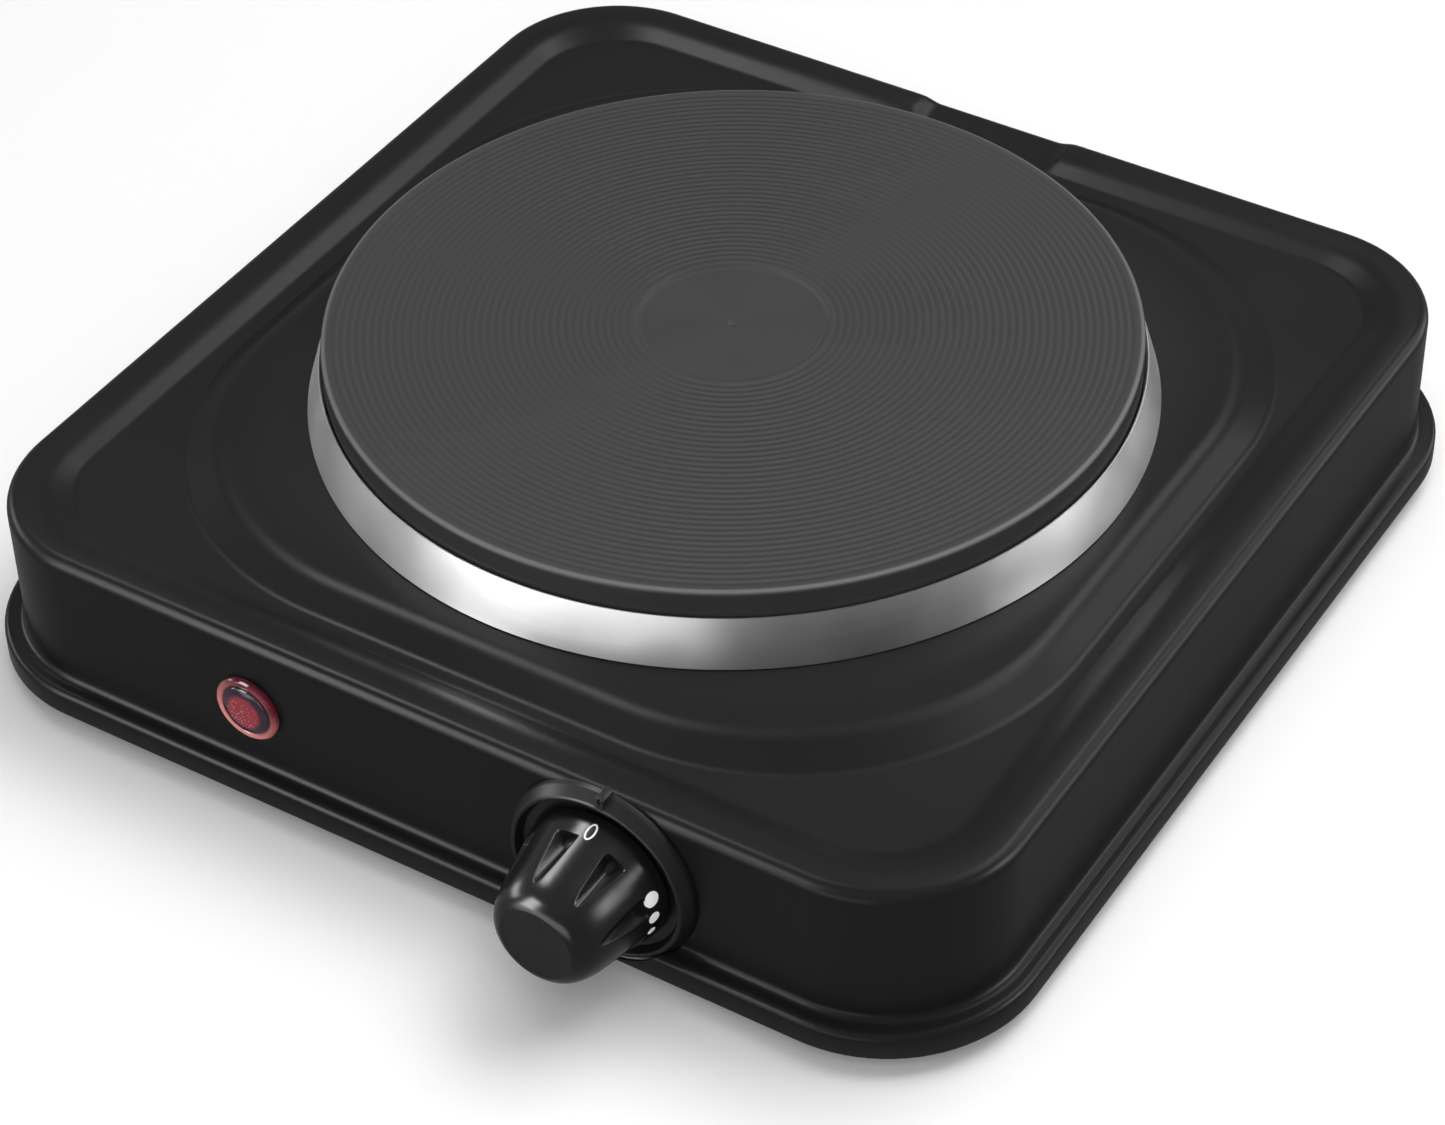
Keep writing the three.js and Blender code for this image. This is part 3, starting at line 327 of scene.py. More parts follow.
class Finish:
    """A node material around one Principled shader, with patterns in object coordinates (metres)."""

    def __init__(self, name, colour, roughness, metallic=0.0, specular=0.5):
        self.material = bpy.data.materials.new(name)
        self.material.use_nodes = True
        self.tree = self.material.node_tree
        self.shader = self.tree.nodes["Principled BSDF"]
        self.set("Base Color", (*colour, 1))
        self.set("Roughness", roughness)
        self.set("Metallic", metallic)
        self.set("Specular IOR Level", specular)
        self.coordinates = self.tree.nodes.new("ShaderNodeTexCoord").outputs["Object"]

    def set(self, socket, value):
        self.shader.inputs[socket].default_value = value

    def link(self, output, socket):
        self.tree.links.new(output, socket)

    def noise(self, scale, detail=4.0, stretch=(1, 1, 1)):
        """Noise from 0 to 1 with features of about 1 / scale metres."""
        mapping = self.tree.nodes.new("ShaderNodeMapping")
        mapping.inputs["Scale"].default_value = stretch
        self.link(self.coordinates, mapping.inputs["Vector"])
        return self.noise_on(mapping.outputs["Vector"], scale, detail)

    def cells(self, scale, output="Distance"):
        """The distance to the middle of the nearest of many cells, or a colour for each cell."""
        texture = self.tree.nodes.new("ShaderNodeTexVoronoi")
        texture.inputs["Scale"].default_value = scale
        self.link(self.coordinates, texture.inputs["Vector"])
        return texture.outputs[output]

    def remap(self, value, low, high, to_low, to_high):
        """A value that runs from low to high, stretched to run from to_low to to_high, and clamped."""
        node = self.tree.nodes.new("ShaderNodeMapRange")
        for name, number in zip(RANGE_SOCKETS, (low, high, to_low, to_high)):
            node.inputs[name].default_value = number
        self.link(value, node.inputs["Value"])
        return node.outputs["Result"]

    def math(self, operation, a, b):
        node = self.tree.nodes.new("ShaderNodeMath")
        node.operation = operation
        for value, socket in ((a, node.inputs[0]), (b, node.inputs[1])):
            if isinstance(value, (int, float)):
                socket.default_value = value
            else:
                self.link(value, socket)
        return node.outputs["Value"]

    def mix(self, factor, a, b):
        """A colour between a and b, each a colour or a socket."""
        node = self.tree.nodes.new("ShaderNodeMix")
        node.data_type = "RGBA"
        self.link(factor, node.inputs["Factor"])
        for value, socket in ((a, node.inputs[6]), (b, node.inputs[7])):
            if isinstance(value, tuple):
                socket.default_value = (*value, 1)
            else:
                self.link(value, socket)
        return node.outputs[2]

    def colour(self, output):
        self.link(output, self.shader.inputs["Base Color"])

    def roughness(self, output):
        self.link(output, self.shader.inputs["Roughness"])

    def bump(self, height, depth_mm, strength=1.0):
        """Adds relief of about depth_mm to what was already bumped."""
        node = self.tree.nodes.new("ShaderNodeBump")
        node.inputs["Strength"].default_value = strength
        node.inputs["Distance"].default_value = depth_mm * MM
        self.link(height, node.inputs["Height"])
        normal = self.shader.inputs["Normal"]
        if normal.is_linked:
            self.link(normal.links[0].from_socket, node.inputs["Normal"])
        self.link(node.outputs["Normal"], normal)

    def edges(self, low, high):
        """0 on flat and hollow places, 1 on worn outer edges."""
        pointiness = self.tree.nodes.new("ShaderNodeNewGeometry").outputs["Pointiness"]
        return self.remap(pointiness, low, high, 0, 1)

    def distance_from(self, place):
        """Distance in metres from the point place."""
        node = self.tree.nodes.new("ShaderNodeVectorMath")
        node.operation = "DISTANCE"
        self.link(self.coordinates, node.inputs[0])
        node.inputs[1].default_value = place
        return node.outputs["Value"]

    def around_axis(self, place):
        """(radius from the upright axis through place, height) as one vector, for turning lines."""
        shifted = self.tree.nodes.new("ShaderNodeVectorMath")
        shifted.operation = "SUBTRACT"
        self.link(self.coordinates, shifted.inputs[0])
        shifted.inputs[1].default_value = place
        split = self.tree.nodes.new("ShaderNodeSeparateXYZ")
        self.link(shifted.outputs["Vector"], split.inputs["Vector"])
        flat = self.tree.nodes.new("ShaderNodeCombineXYZ")
        self.link(split.outputs["X"], flat.inputs["X"])
        self.link(split.outputs["Y"], flat.inputs["Y"])
        length = self.tree.nodes.new("ShaderNodeVectorMath")
        length.operation = "LENGTH"
        self.link(flat.outputs["Vector"], length.inputs[0])
        joined = self.tree.nodes.new("ShaderNodeCombineXYZ")
        self.link(length.outputs["Value"], joined.inputs["X"])
        self.link(split.outputs["Z"], joined.inputs["Z"])
        return joined.outputs["Vector"]

    def first_of(self, vector):
        """A vector's first number."""
        split = self.tree.nodes.new("ShaderNodeSeparateXYZ")
        self.link(vector, split.inputs["Vector"])
        return split.outputs["X"]

    def height(self):
        """Height in the drawing, in millimetres."""
        split = self.tree.nodes.new("ShaderNodeSeparateXYZ")
        self.link(self.coordinates, split.inputs["Vector"])
        return self.math("MULTIPLY", self.math("SUBTRACT", split.outputs["Z"], FLANGE_LOW), 1 / MM)

    def along(self, place, direction):
        """How far a point is from place along a direction, in millimetres."""
        shifted = self.tree.nodes.new("ShaderNodeVectorMath")
        shifted.operation = "SUBTRACT"
        self.link(self.coordinates, shifted.inputs[0])
        shifted.inputs[1].default_value = place
        dot = self.tree.nodes.new("ShaderNodeVectorMath")
        dot.operation = "DOT_PRODUCT"
        self.link(shifted.outputs["Vector"], dot.inputs[0])
        dot.inputs[1].default_value = Vector(direction).normalized() / MM
        return dot.outputs["Value"]

    def groove_shade(self, radius, low, high, count):
        """1 on the floors of concentric grooves between two radii in millimetres, 0 on their crests."""
        turns = self.remap(radius, low * MM, high * MM, 0, 2 * math.pi * count)
        return self.remap(self.math("COSINE", turns, 0), -1, 1, 1, 0)

    def turning_lines(self, amount, rotation=0.25):
        """Shine drawn out across the lines of a turned surface, or along them with rotation 0."""
        self.set("Anisotropic", amount)
        self.set("Anisotropic Rotation", rotation)
        tangent = self.tree.nodes.new("ShaderNodeTangent")
        tangent.direction_type = "RADIAL"
        tangent.axis = "Z"
        self.link(tangent.outputs["Tangent"], self.shader.inputs["Tangent"])

    def noise_on(self, vector, scale, detail=3.0):
        """Noise from 0 to 1 over a vector of its own."""
        texture = self.tree.nodes.new("ShaderNodeTexNoise")
        texture.inputs["Scale"].default_value = scale
        texture.inputs["Detail"].default_value = detail
        self.link(vector, texture.inputs["Vector"])
        return texture.outputs["Fac"]


# ---------------------------------------------------------------- materials


def enamel():
    f = Finish("enamel_black", (0.01, 0.01, 0.0105), 0.33, specular=0.16)
    cloud = f.noise(14, 3)
    fine = f.noise(900, 2)
    specks = f.remap(f.cells(420), 0.035, 0.06, 1, 0)
    body = f.mix(cloud, (0.0085, 0.0085, 0.009), (0.0115, 0.0115, 0.012))
    worn = f.mix(f.math("MULTIPLY", f.edges(0.53, 0.6), 0.5), body, (0.03, 0.03, 0.031))
    f.colour(f.mix(f.math("MULTIPLY", specks, 0.35), worn, (0.045, 0.045, 0.045)))
    uneven = f.math("ADD", cloud, f.math("MULTIPLY", fine, 0.4))
    f.roughness(f.remap(uneven, 0.35, 1.1, 0.26, 0.38))
    f.bump(f.noise(26, 2), 0.06)
    f.bump(fine, 0.006)
    return f.material


def plate_coating():
    f = Finish("plate_coating", (0.046, 0.047, 0.048), 0.7, specular=0.35)
    f.turning_lines(0.45, 0.0)
    blotch = f.noise(45, 6)
    grain = f.noise(1600, 3)
    around = f.around_axis(AXIS)
    lines = f.noise_on(around, 2600, 2)
    radius = f.first_of(around)
    outer = f.groove_shade(radius, GROOVE_IN, GROOVE_OUT, GROOVES)
    inner = f.groove_shade(radius, FINE_IN, FINE_OUT, FINE_GROOVES)
    recess = PLATE_TOP - RECESS_DEPTH
    on_top = f.remap(f.height(), recess - 0.3, recess - 0.2, 0, 1)
    valley = f.math("MULTIPLY", on_top, f.math("MAXIMUM", outer, f.math("MULTIPLY", inner, 0.7)))
    base = f.mix(blotch, (0.027, 0.0275, 0.0285), (0.034, 0.0345, 0.0355))
    pale = f.remap(f.cells(170), 0.02, 0.05, 1, 0)
    base = f.mix(f.math("MULTIPLY", pale, 0.25), base, (0.14, 0.14, 0.14))
    # Painted shade: the floors of the grooves are darkened, more in some patches than in others.
    painted_groove_shade = f.math("MULTIPLY", valley, f.remap(blotch, 0.3, 0.7, 0.4, 0.7))
    base = f.mix(painted_groove_shade, base, (0.018, 0.018, 0.0185))
    # A paler ring along the plate's rounded top edge: partly rubbed metal, partly a painted highlight of
    # the edge's shine.
    from_inside = f.remap(radius, (PLATE_R - 1.3) * MM, (PLATE_R - 0.7) * MM, 0, 1)
    from_outside = f.remap(radius, (PLATE_R - 0.4) * MM, (PLATE_R - 0.1) * MM, 1, 0)
    rubbed_edge_and_highlight = f.math("MULTIPLY", f.math("MULTIPLY", from_inside, from_outside), on_top)
    f.colour(f.mix(f.math("MULTIPLY", rubbed_edge_and_highlight, 0.7), base, (0.15, 0.15, 0.152)))
    uneven = f.math("ADD", blotch, f.math("MULTIPLY", grain, 0.5))
    f.roughness(f.remap(uneven, 0.4, 1.2, 0.46, 0.62))
    f.bump(lines, 0.008, 0.6)
    f.bump(grain, 0.015)
    return f.material


def turned_steel():
    f = Finish("turned_steel", (0.85, 0.85, 0.845), 0.34, metallic=1.0)
    f.turning_lines(0.45)
    lines = f.noise_on(f.around_axis(AXIS), 4200, 3)
    smear = f.noise(60, 4)
    f.colour(f.mix(smear, (0.8, 0.8, 0.795), (0.9, 0.9, 0.895)))
    f.roughness(f.remap(f.math("ADD", lines, smear), 0.6, 1.4, 0.3, 0.4))
    f.bump(lines, 0.002, 0.5)
    return f.material


def black_plastic(name, smooth, rough, specular):
    f = Finish(name, (0.006, 0.006, 0.0065), smooth, specular=specular)
    fine = f.noise(2600, 3)
    cloud = f.noise(90, 3)
    f.colour(f.mix(cloud, (0.005, 0.005, 0.0055), (0.009, 0.009, 0.0095)))
    f.roughness(f.remap(f.math("ADD", fine, cloud), 0.6, 1.5, smooth, rough))
    f.bump(f.noise(70, 2), 0.06)
    f.bump(fine, 0.004)
    return f.material


def print_white():
    f = Finish("print_white", (0.82, 0.82, 0.81), 0.45)
    ink = f.noise(2500, 3)
    f.colour(f.mix(ink, (0.88, 0.88, 0.87), (0.96, 0.96, 0.95)))
    f.bump(ink, 0.01)
    return f.material


def lens_red():
    f = Finish("lens_red", (0.5, 0.05, 0.07), 0.07, specular=0.6)
    f.set("Transmission Weight", 0.15)
    f.set("IOR", 1.49)
    radius = f.distance_from(LAMP_PLACE)
    # Painted light: the flange runs from dark at the upper right to bright salmon at the lower left, and
    # the pad's dots follow the same fall of light.
    low_left = f.along(LAMP_PLACE, (-0.5, 0, -0.85))
    cloud = f.noise(500, 3)
    painted_light = f.remap(f.math("ADD", low_left, f.math("MULTIPLY", cloud, 3)), -4.5, 8, 0, 1)
    flange = f.mix(painted_light, (0.14, 0.012, 0.03), (0.95, 0.34, 0.31))
    # A painted glow: bright red at the upper right of the flange's inner part.
    upper_right = f.remap(low_left, -7, -5.4, 1, 0)
    painted_glow = f.math("MULTIPLY", upper_right, f.remap(radius, 0.0076, 0.007, 0, 1))
    flange = f.mix(painted_glow, flange, (0.8, 0.05, 0.03))
    # Painted highlights: bright dots on the pad stand for glints on its prisms, brighter towards the
    # lower left.
    painted_glints = f.remap(f.cells(1500), 0.16, 0.3, 1, 0)
    pad = f.mix(f.math("MULTIPLY", painted_glints, painted_light), (0.36, 0.04, 0.06), (0.98, 0.62, 0.6))
    # Painted shade: the band is dark for the shaded inside seen through it.
    painted_dark_band = f.mix(cloud, (0.025, 0.016, 0.03), (0.06, 0.035, 0.055))
    in_pad = f.remap(radius, (LAMP_PAD_R + 0.3) * MM, (LAMP_PAD_R + 1.0) * MM, 1, 0)
    in_flange = f.remap(radius, (LAMP_BAND_R + 0.1) * MM, (LAMP_BAND_R + 0.4) * MM, 0, 1)
    f.colour(f.mix(in_flange, f.mix(in_pad, painted_dark_band, pad), flange))
    return f.material


def clear_glass():
    f = Finish("clear_glass", (0.95, 0.93, 0.9), 0.03)
    f.set("Transmission Weight", 0.95)
    f.bump(f.noise(300, 2), 0.02)
    return f.material


def rubber():
    f = Finish("rubber_black", (0.018, 0.018, 0.018), 0.75, specular=0.3)
    dust = f.noise(200, 5)
    f.colour(f.mix(dust, (0.014, 0.014, 0.014), (0.03, 0.03, 0.029)))
    f.roughness(f.remap(dust, 0.3, 0.7, 0.65, 0.85))
    f.bump(f.noise(1800, 4), 0.03)
    return f.material


def zinc():
    f = Finish("zinc_plated", (0.6, 0.61, 0.63), 0.32, metallic=1.0)
    cloud = f.noise(500, 4)
    f.colour(f.mix(cloud, (0.5, 0.51, 0.53), (0.68, 0.69, 0.7)))
    f.roughness(f.remap(cloud, 0.3, 0.7, 0.25, 0.42))
    f.bump(f.noise(3000, 2), 0.01)
    return f.material


def galvanised():
    f = Finish("galvanised_sheet", (0.5, 0.51, 0.52), 0.42, metallic=1.0)
    spangle = f.cells(110, output="Color")
    grey = f.tree.nodes.new("ShaderNodeRGBToBW")
    f.link(spangle, grey.inputs["Color"])
    f.colour(f.mix(grey.outputs["Val"], (0.4, 0.41, 0.42), (0.62, 0.63, 0.64)))
    f.roughness(f.remap(grey.outputs["Val"], 0, 1, 0.32, 0.5))
    f.bump(f.noise(700, 3), 0.02)
    return f.material


def steel_strip():
    f = Finish("steel_strip", (0.7, 0.7, 0.69), 0.28, metallic=1.0)
    lines = f.noise(900, 3, (1, 12, 12))
    f.roughness(f.remap(lines, 0.3, 0.7, 0.2, 0.36))
    f.colour(f.mix(lines, (0.62, 0.62, 0.6), (0.76, 0.76, 0.75)))
    f.bump(lines, 0.01)
    return f.material


def brass():
    f = Finish("brass_plain", (0.72, 0.54, 0.24), 0.3, metallic=1.0)
    tarnish = f.noise(260, 5)
    f.colour(f.mix(tarnish, (0.56, 0.4, 0.17), (0.78, 0.6, 0.3)))
    f.roughness(f.remap(tarnish, 0.3, 0.7, 0.22, 0.42))
    f.bump(f.noise(2200, 2), 0.01)
    return f.material


def steatite():
    f = Finish("steatite", (0.8, 0.77, 0.69), 0.6)
    grain = f.noise(700, 5)
    spots = f.remap(f.cells(500), 0.05, 0.1, 1, 0)
    base = f.mix(grain, (0.74, 0.7, 0.61), (0.85, 0.82, 0.75))
    f.colour(f.mix(f.math("MULTIPLY", spots, 0.3), base, (0.45, 0.4, 0.33)))
    f.bump(grain, 0.04)
    return f.material


def cement():
    f = Finish("magnesia_cement", (0.58, 0.55, 0.48), 0.95)
    grain = f.noise(400, 8)
    f.colour(f.mix(grain, (0.46, 0.43, 0.37), (0.68, 0.65, 0.58)))
    f.bump(grain, 0.3)
    return f.material


def heating_wire():
    f = Finish("heating_wire", (0.24, 0.21, 0.19), 0.5, metallic=0.8)
    scale = f.noise(800, 5)
    f.colour(f.mix(scale, (0.14, 0.12, 0.11), (0.34, 0.3, 0.27)))
    f.bump(scale, 0.03)
    return f.material


def sleeve(name, colour, stripe=None):
    """Woven heat-resistant sleeve, with a stripe of a second colour on the earth lead."""
    f = Finish("sleeve_" + name, colour, 0.6)
    weave = f.cells(1500)
    dark = tuple(c * 0.55 for c in colour)
    base = f.mix(weave, colour, dark)
    if stripe:
        base = f.mix(f.remap(f.noise(90, 0), 0.49, 0.51, 0, 1), base, stripe)
    f.colour(base)
    f.bump(weave, 0.08)
    return f.material


LAMP_PLACE = on_wall("lamp_lens", -1) @ Vector((0, 0, 0))

ENAMEL = enamel()
COATING = plate_coating()
TURNED_STEEL = turned_steel()
KNOB_PLASTIC = black_plastic("knob_plastic", 0.19, 0.27, 0.55)
BEZEL_PLASTIC = black_plastic("bezel_plastic", 0.34, 0.46, 0.45)
INK = print_white()
LENS = lens_red()
GLASS = clear_glass()
RUBBER = rubber()
ZINC = zinc()
GALVANISED = galvanised()
STEEL_STRIP = steel_strip()
BRASS = brass()
STEATITE = steatite()
CEMENT = cement()
WIRE = heating_wire()
SLEEVES = {
    "lead_brown": sleeve("brown", (0.2, 0.08, 0.035)),
    "lead_black": sleeve("black", (0.03, 0.03, 0.03)),
    "lead_blue": sleeve("blue", (0.04, 0.13, 0.42)),
    "lead_green_yellow": sleeve("earth", (0.1, 0.36, 0.06), (0.75, 0.62, 0.08)),
}
SLOT_MATERIALS = {
    "enamel": ENAMEL,
    "galvanised": GALVANISED,
    "cast_iron": COATING,
    "stainless": STEEL_STRIP,
    "heating_wire": WIRE,
    "cement": CEMENT,
    "ceramic": STEATITE,
    "zinc_steel": ZINC,
    "brass": BRASS,
    "knob_plastic": KNOB_PLASTIC,
    "lens_red": LENS,
    "bulb_glass": GLASS,
    "rubber": RUBBER,
    **SLEEVES,
}


def finish_cad_nodes():
    """Every CAD node gets the finish of its slot. Those that a piece replaces aren't shown."""
    for part in frame["record"]["subparts"]:
        node = frame["nodes"][part["node"]]
        node.data.materials.clear()
        node.data.materials.append(SLOT_MATERIALS[part["material_slot"]])


# ---------------------------------------------------------------- housing


def side_stops(dense):
    """Where a side of the housing has columns, as shares of its half length, from + to -."""
    stops = list(np.linspace(1, -1, SIDE_COLUMNS)[1:-1])
    if dense:
        notch_end = NOTCH_HALF + NOTCH_RAMP
        near = np.linspace(notch_end, -notch_end, NOTCH_COLUMNS) / BODY_STRAIGHT
        outside = [s for s in stops if abs(s) > near[0] + 0.02]
        stops = sorted([*outside, *near], reverse=True)
    return stops


def notch_drop(x, y, half, height):
    """How far the rear rim is pressed down at a point of the outer face, less at its outer edge."""
    if y < DECK_HALF - 3:
        return 0.0
    along = np.clip((NOTCH_HALF + NOTCH_RAMP - abs(x)) / NOTCH_RAMP, 0, 1)
    inwards = np.clip((BODY_HALF - half) / (BODY_HALF - RIM_INNER_HALF), 0, 1)
    depth = NOTCH_OUTER_DEPTH + (NOTCH_DEPTH - NOTCH_OUTER_DEPTH) * inwards
    on_slope = half < RIM_INNER_HALF + 1
    low, high = (DECK_H, RIM_H) if on_slope else (RIM_H - 9, RIM_H - RIM_ROUND - SHEET)
    up = np.clip((height - low) / (high - low), 0, 1)
    return depth * along * along * (3 - 2 * along) * up


def shell_ring(half, straight, height, outer_height, outer_half):
    """One round of the shell, counter-clockwise from above: a circle at the plate's hole."""
    ring = []
    corner = half - straight
    for quarter in range(4):
        turn = quarter * math.pi / 2
        centre = math.sqrt(2) * straight
        middle_angle = turn + math.pi / 4
        cx, cy = centre * math.cos(middle_angle), centre * math.sin(middle_angle)
        for step in range(CORNER_STEPS + 1):
            angle = turn + math.pi / 2 * step / CORNER_STEPS
            ring.append((cx + corner * math.cos(angle), cy + corner * math.sin(angle)))
        out = (math.cos(turn + math.pi / 2), math.sin(turn + math.pi / 2))
        for share in side_stops(dense=quarter == 0):
            along = share * straight
            ring.append((out[0] * half + out[1] * along, out[1] * half - out[0] * along))
    if outer_half == PLATE_HOLE_R:
        ring = [(x / math.hypot(x, y) * half, y / math.hypot(x, y) * half) for x, y in ring]
    return [(x, y, height - notch_drop(x, y, outer_half, outer_height)) for x, y in ring]


def shell_profile():
    """The shell's outer face from the flange's foot to the plate's hole, as (half, height, straight)."""
    corners = [
        (FLANGE_HALF, 0, 0, FLANGE_STRAIGHT),
        (FLANGE_HALF, FLANGE_H, 1.7, FLANGE_STRAIGHT),
        (BODY_HALF, FLANGE_H, FLANGE_FILLET, BODY_STRAIGHT),
        (BODY_HALF, FLANGE_H + FLANGE_FILLET + FLAT, 0, BODY_STRAIGHT),
        (BODY_HALF, RIM_H - RIM_ROUND - FLAT, 0, BODY_STRAIGHT),
        (BODY_HALF, RIM_H, RIM_ROUND, BODY_STRAIGHT),
        (RIM_INNER_HALF, RIM_H, 12.0, BODY_STRAIGHT - 2),
        (DECK_HALF, DECK_H, 4.5, BODY_STRAIGHT - 3),
        (PLATFORM_FOOT_HALF, DECK_H, 4.0, PLATFORM_FOOT_STRAIGHT),
        (PLATFORM_TOP_HALF, PLATFORM_H, 9.0, PLATFORM_TOP_STRAIGHT),
        (PLATFORM_TOP_HALF - 3, PLATFORM_H, 0, PLATFORM_TOP_STRAIGHT),
        (PLATE_HOLE_R, PLATFORM_H, 0, PLATFORM_TOP_STRAIGHT),
    ]
    return [(half, height, corners[i][3]) for half, height, i in rounded(corners, steps=7)]


def bezel_relief():
    """The room for the bezel in the flange and the base pan, which it is sunk into at its lower edge."""
    profile = [
        (0, GAP / 2), (BEZEL_R + GAP, GAP / 2), (BEZEL_R + GAP, 1.0), (BEZEL_R - 0.1, 2.0),
        (BEZEL_R - 1.3, BEZEL_REACH), (BEZEL_R - 1.7, 12), (0, 12),
    ]
    return revolve(profile, 128)


def wall_hole(radius, segments=48):
    return rod_shape(radius, -HOLE_REACH, HOLE_REACH, segments)


def housing_shell():
    """The outer face, and an inner face one sheet further in, as one closed skin with its holes."""
    outer = shell_profile()
    flat = np.array([(half, height) for half, height, _ in outer])
    along = np.gradient(flat, axis=0)
    along /= np.linalg.norm(along, axis=1)[:, None]
    inner = flat + np.stack([-along[:, 1], along[:, 0]], axis=1) * SHEET
    rings = [shell_ring(half, straight, height, height, half) for half, height, straight in outer]
    inner[-1, 0] = PLATE_HOLE_R
    for (half, height), (outer_half, outer_height, straight) in reversed(list(zip(inner, outer))):
        rings.append(shell_ring(half, straight, height, outer_height, outer_half))
    shell = add_mesh("housing_shell_pressed", *skin(rings, loop=True))
    knob_holes = [wall_hole(KNOB_HUB_R + 0.2)]
    for side in (-1, 1):
        knob_holes.append(moved(wall_hole(SCREW_HOLE_R, 24), x=side * SCREW_PITCH / 2))
    combine(shell, knob_holes, "DIFFERENCE", on_wall("knob", -1))
    combine(shell, [bezel_relief()], "DIFFERENCE", on_wall("knob", -1))
    combine(shell, [wall_hole(LAMP_SLEEVE_R + 0.4)], "DIFFERENCE", on_wall("lamp_lens", -1))
    combine(shell, [wall_hole(GLAND_NECK_R + 0.3)], "DIFFERENCE", on_wall("cord_gland", 1))
    settle(shell, ENAMEL, "enamel", "housing_shell")


# ---------------------------------------------------------------- hot plate


def grooves(low, high, count, depth, top, samples=5):
    """Profile points inwards over concentric grooves between two radii."""
    points = []
    for step in range(count * samples + 1):
        share = step / samples
        radius = high - (high - low) * share / count
        points.append((radius, top - depth * (0.5 - 0.5 * math.cos(2 * math.pi * share)), 0))
    return points


def plate_profile():
    """Corners (radius, height, bend) from the axis outwards below and back to it over the top."""
    bore = STUD_R + 0.4
    floor = PLATE_TOP - RECESS_DEPTH
    edge = PLATE_R - PLATE_EDGE_ROUND
    return [
        (0, CAVITY_TOP, 0),
        (bore, CAVITY_TOP, 0),
        (bore, BOSS_BOTTOM, 0.4),
        (BOSS_R, BOSS_BOTTOM, 0.8),
        (BOSS_R + 0.5, CAVITY_TOP, 1.5),
        (PLATE_RIB_IN - 0.5, CAVITY_TOP, 1.5),
        (PLATE_RIB_IN, PLATE_RIB_BOTTOM, 0.5),
        (PLATE_RIB_OUT, PLATE_RIB_BOTTOM, 0.5),
        (PLATE_RIB_OUT, PLATE_SHOULDER, 0.6),
        (PLATE_R, PLATE_SHOULDER, 0.8),
        (PLATE_R, PLATE_TOP, PLATE_EDGE_ROUND),
        (edge - 0.4, PLATE_TOP, 0),
        *grooves(GROOVE_IN, GROOVE_OUT, GROOVES, GROOVE_DEPTH, PLATE_TOP),
        (RECESS_R + 0.7, PLATE_TOP, 0.5),
        (RECESS_R, floor, 0.4),
        *grooves(FINE_IN, FINE_OUT, FINE_GROOVES, FINE_DEPTH, floor, 4),
        (0.9, floor - 0.35, 0),
        (0, floor - 0.5, 0),
    ]


def hot_plate():
    plate = turned("hotplate_machined", plate_profile(), segments=240, sharp=40)
    settle(plate, COATING, "cast_iron", "hotplate_casting")


def spill_ring():
    low = PLATFORM_H + GAP
    inner = PLATE_HOLE_R + 2
    corners = [
        (inner, low, 0.2),
        (RING_R, low, 0.05),
        (RING_TOP_R, RING_TOP, 0),
        (RING_TOP_R - 0.25, RING_TOP, 0),
        (RING_TOP_R - RING_WALL, RING_TOP - 0.3, 0.1),
        (RING_R - 2 * RING_WALL - 0.5, low + RING_WALL, 0.4),
        (inner, low + RING_WALL, 0.2),
    ]
    ring = turned("spill_ring_turned", corners, segments=288, steps=5)
    settle(ring, TURNED_STEEL, "stainless", "spill_ring")


# ---------------------------------------------------------------- knob
# On the knob, +Z points out of the wall, +Y is up at rest and angles run clockwise from +Y.


def knob_outline():
    """(radius, height) along the knob's outside, from its open end to its front face."""
    nose_start = KNOB_REACH - KNOB_NOSE
    heights = [KNOB_SKIRT + 0.3, 4, 5.5, 7]
    heights += [FLUTE_FOOT + step for step in (-0.3, -0.08, 0, 0.25, 0.4)]
    heights += list(np.arange(FLUTE_FOOT + 0.8, nose_start, 0.4))
    points = []
    for height in heights:
        share = (height - KNOB_SKIRT) / (nose_start - KNOB_SKIRT)
        points.append((KNOB_BASE_R + (KNOB_SHOULDER_R - KNOB_BASE_R) * share, height))
    cone = math.atan2(KNOB_BASE_R - KNOB_SHOULDER_R, nose_start - KNOB_SKIRT)
    start = Vector((KNOB_SHOULDER_R, nose_start))
    end = Vector((KNOB_FACE_R, KNOB_REACH))
    first = start + 8.0 * Vector((-math.sin(cone), math.cos(cone)))
    last = end + 4.6 * Vector((math.cos(NOSE_CREASE), -math.sin(NOSE_CREASE)))
    for step in range(NOSE_STEPS + 1):
        t = step / NOSE_STEPS
        point = (1 - t) ** 3 * start + 3 * t * (1 - t) ** 2 * first
        point = point + 3 * t * t * (1 - t) * last + t ** 3 * end
        points.append((point.x, point.y))
    return points


def knob_radius(height):
    """The knob's radius at a height, without its flutes."""
    radii, heights = zip(*knob_outline())
    return float(np.interp(height, heights, radii))


def flute_half(radius, height):
    """Half the width of a flute where the knob has this radius.

    A flute is a trough whose floor runs along the knob's axis.
    """
    if height < FLUTE_FOOT:
        radius = knob_radius(FLUTE_FOOT)
    deep = max(0.0, radius - FLUTE_FLOOR_R)
    return max(0.25, FLUTE_HALF * (deep / FLUTE_DEEP) ** (1 / FLUTE_BEND))


def flute_depth(across, radius, height):
    """How far a flute cuts in at a distance across from its middle, with softened floor and edges."""
    if height < FLUTE_FOOT + 0.1:
        return 0.0
    rise = FLUTE_DEEP * (math.hypot(across, 0.14) / FLUTE_HALF) ** FLUTE_BEND
    raw = radius - FLUTE_FLOOR_R - rise
    return max(0.0, (raw + math.hypot(raw, 0.06)) / 2 - 0.002)


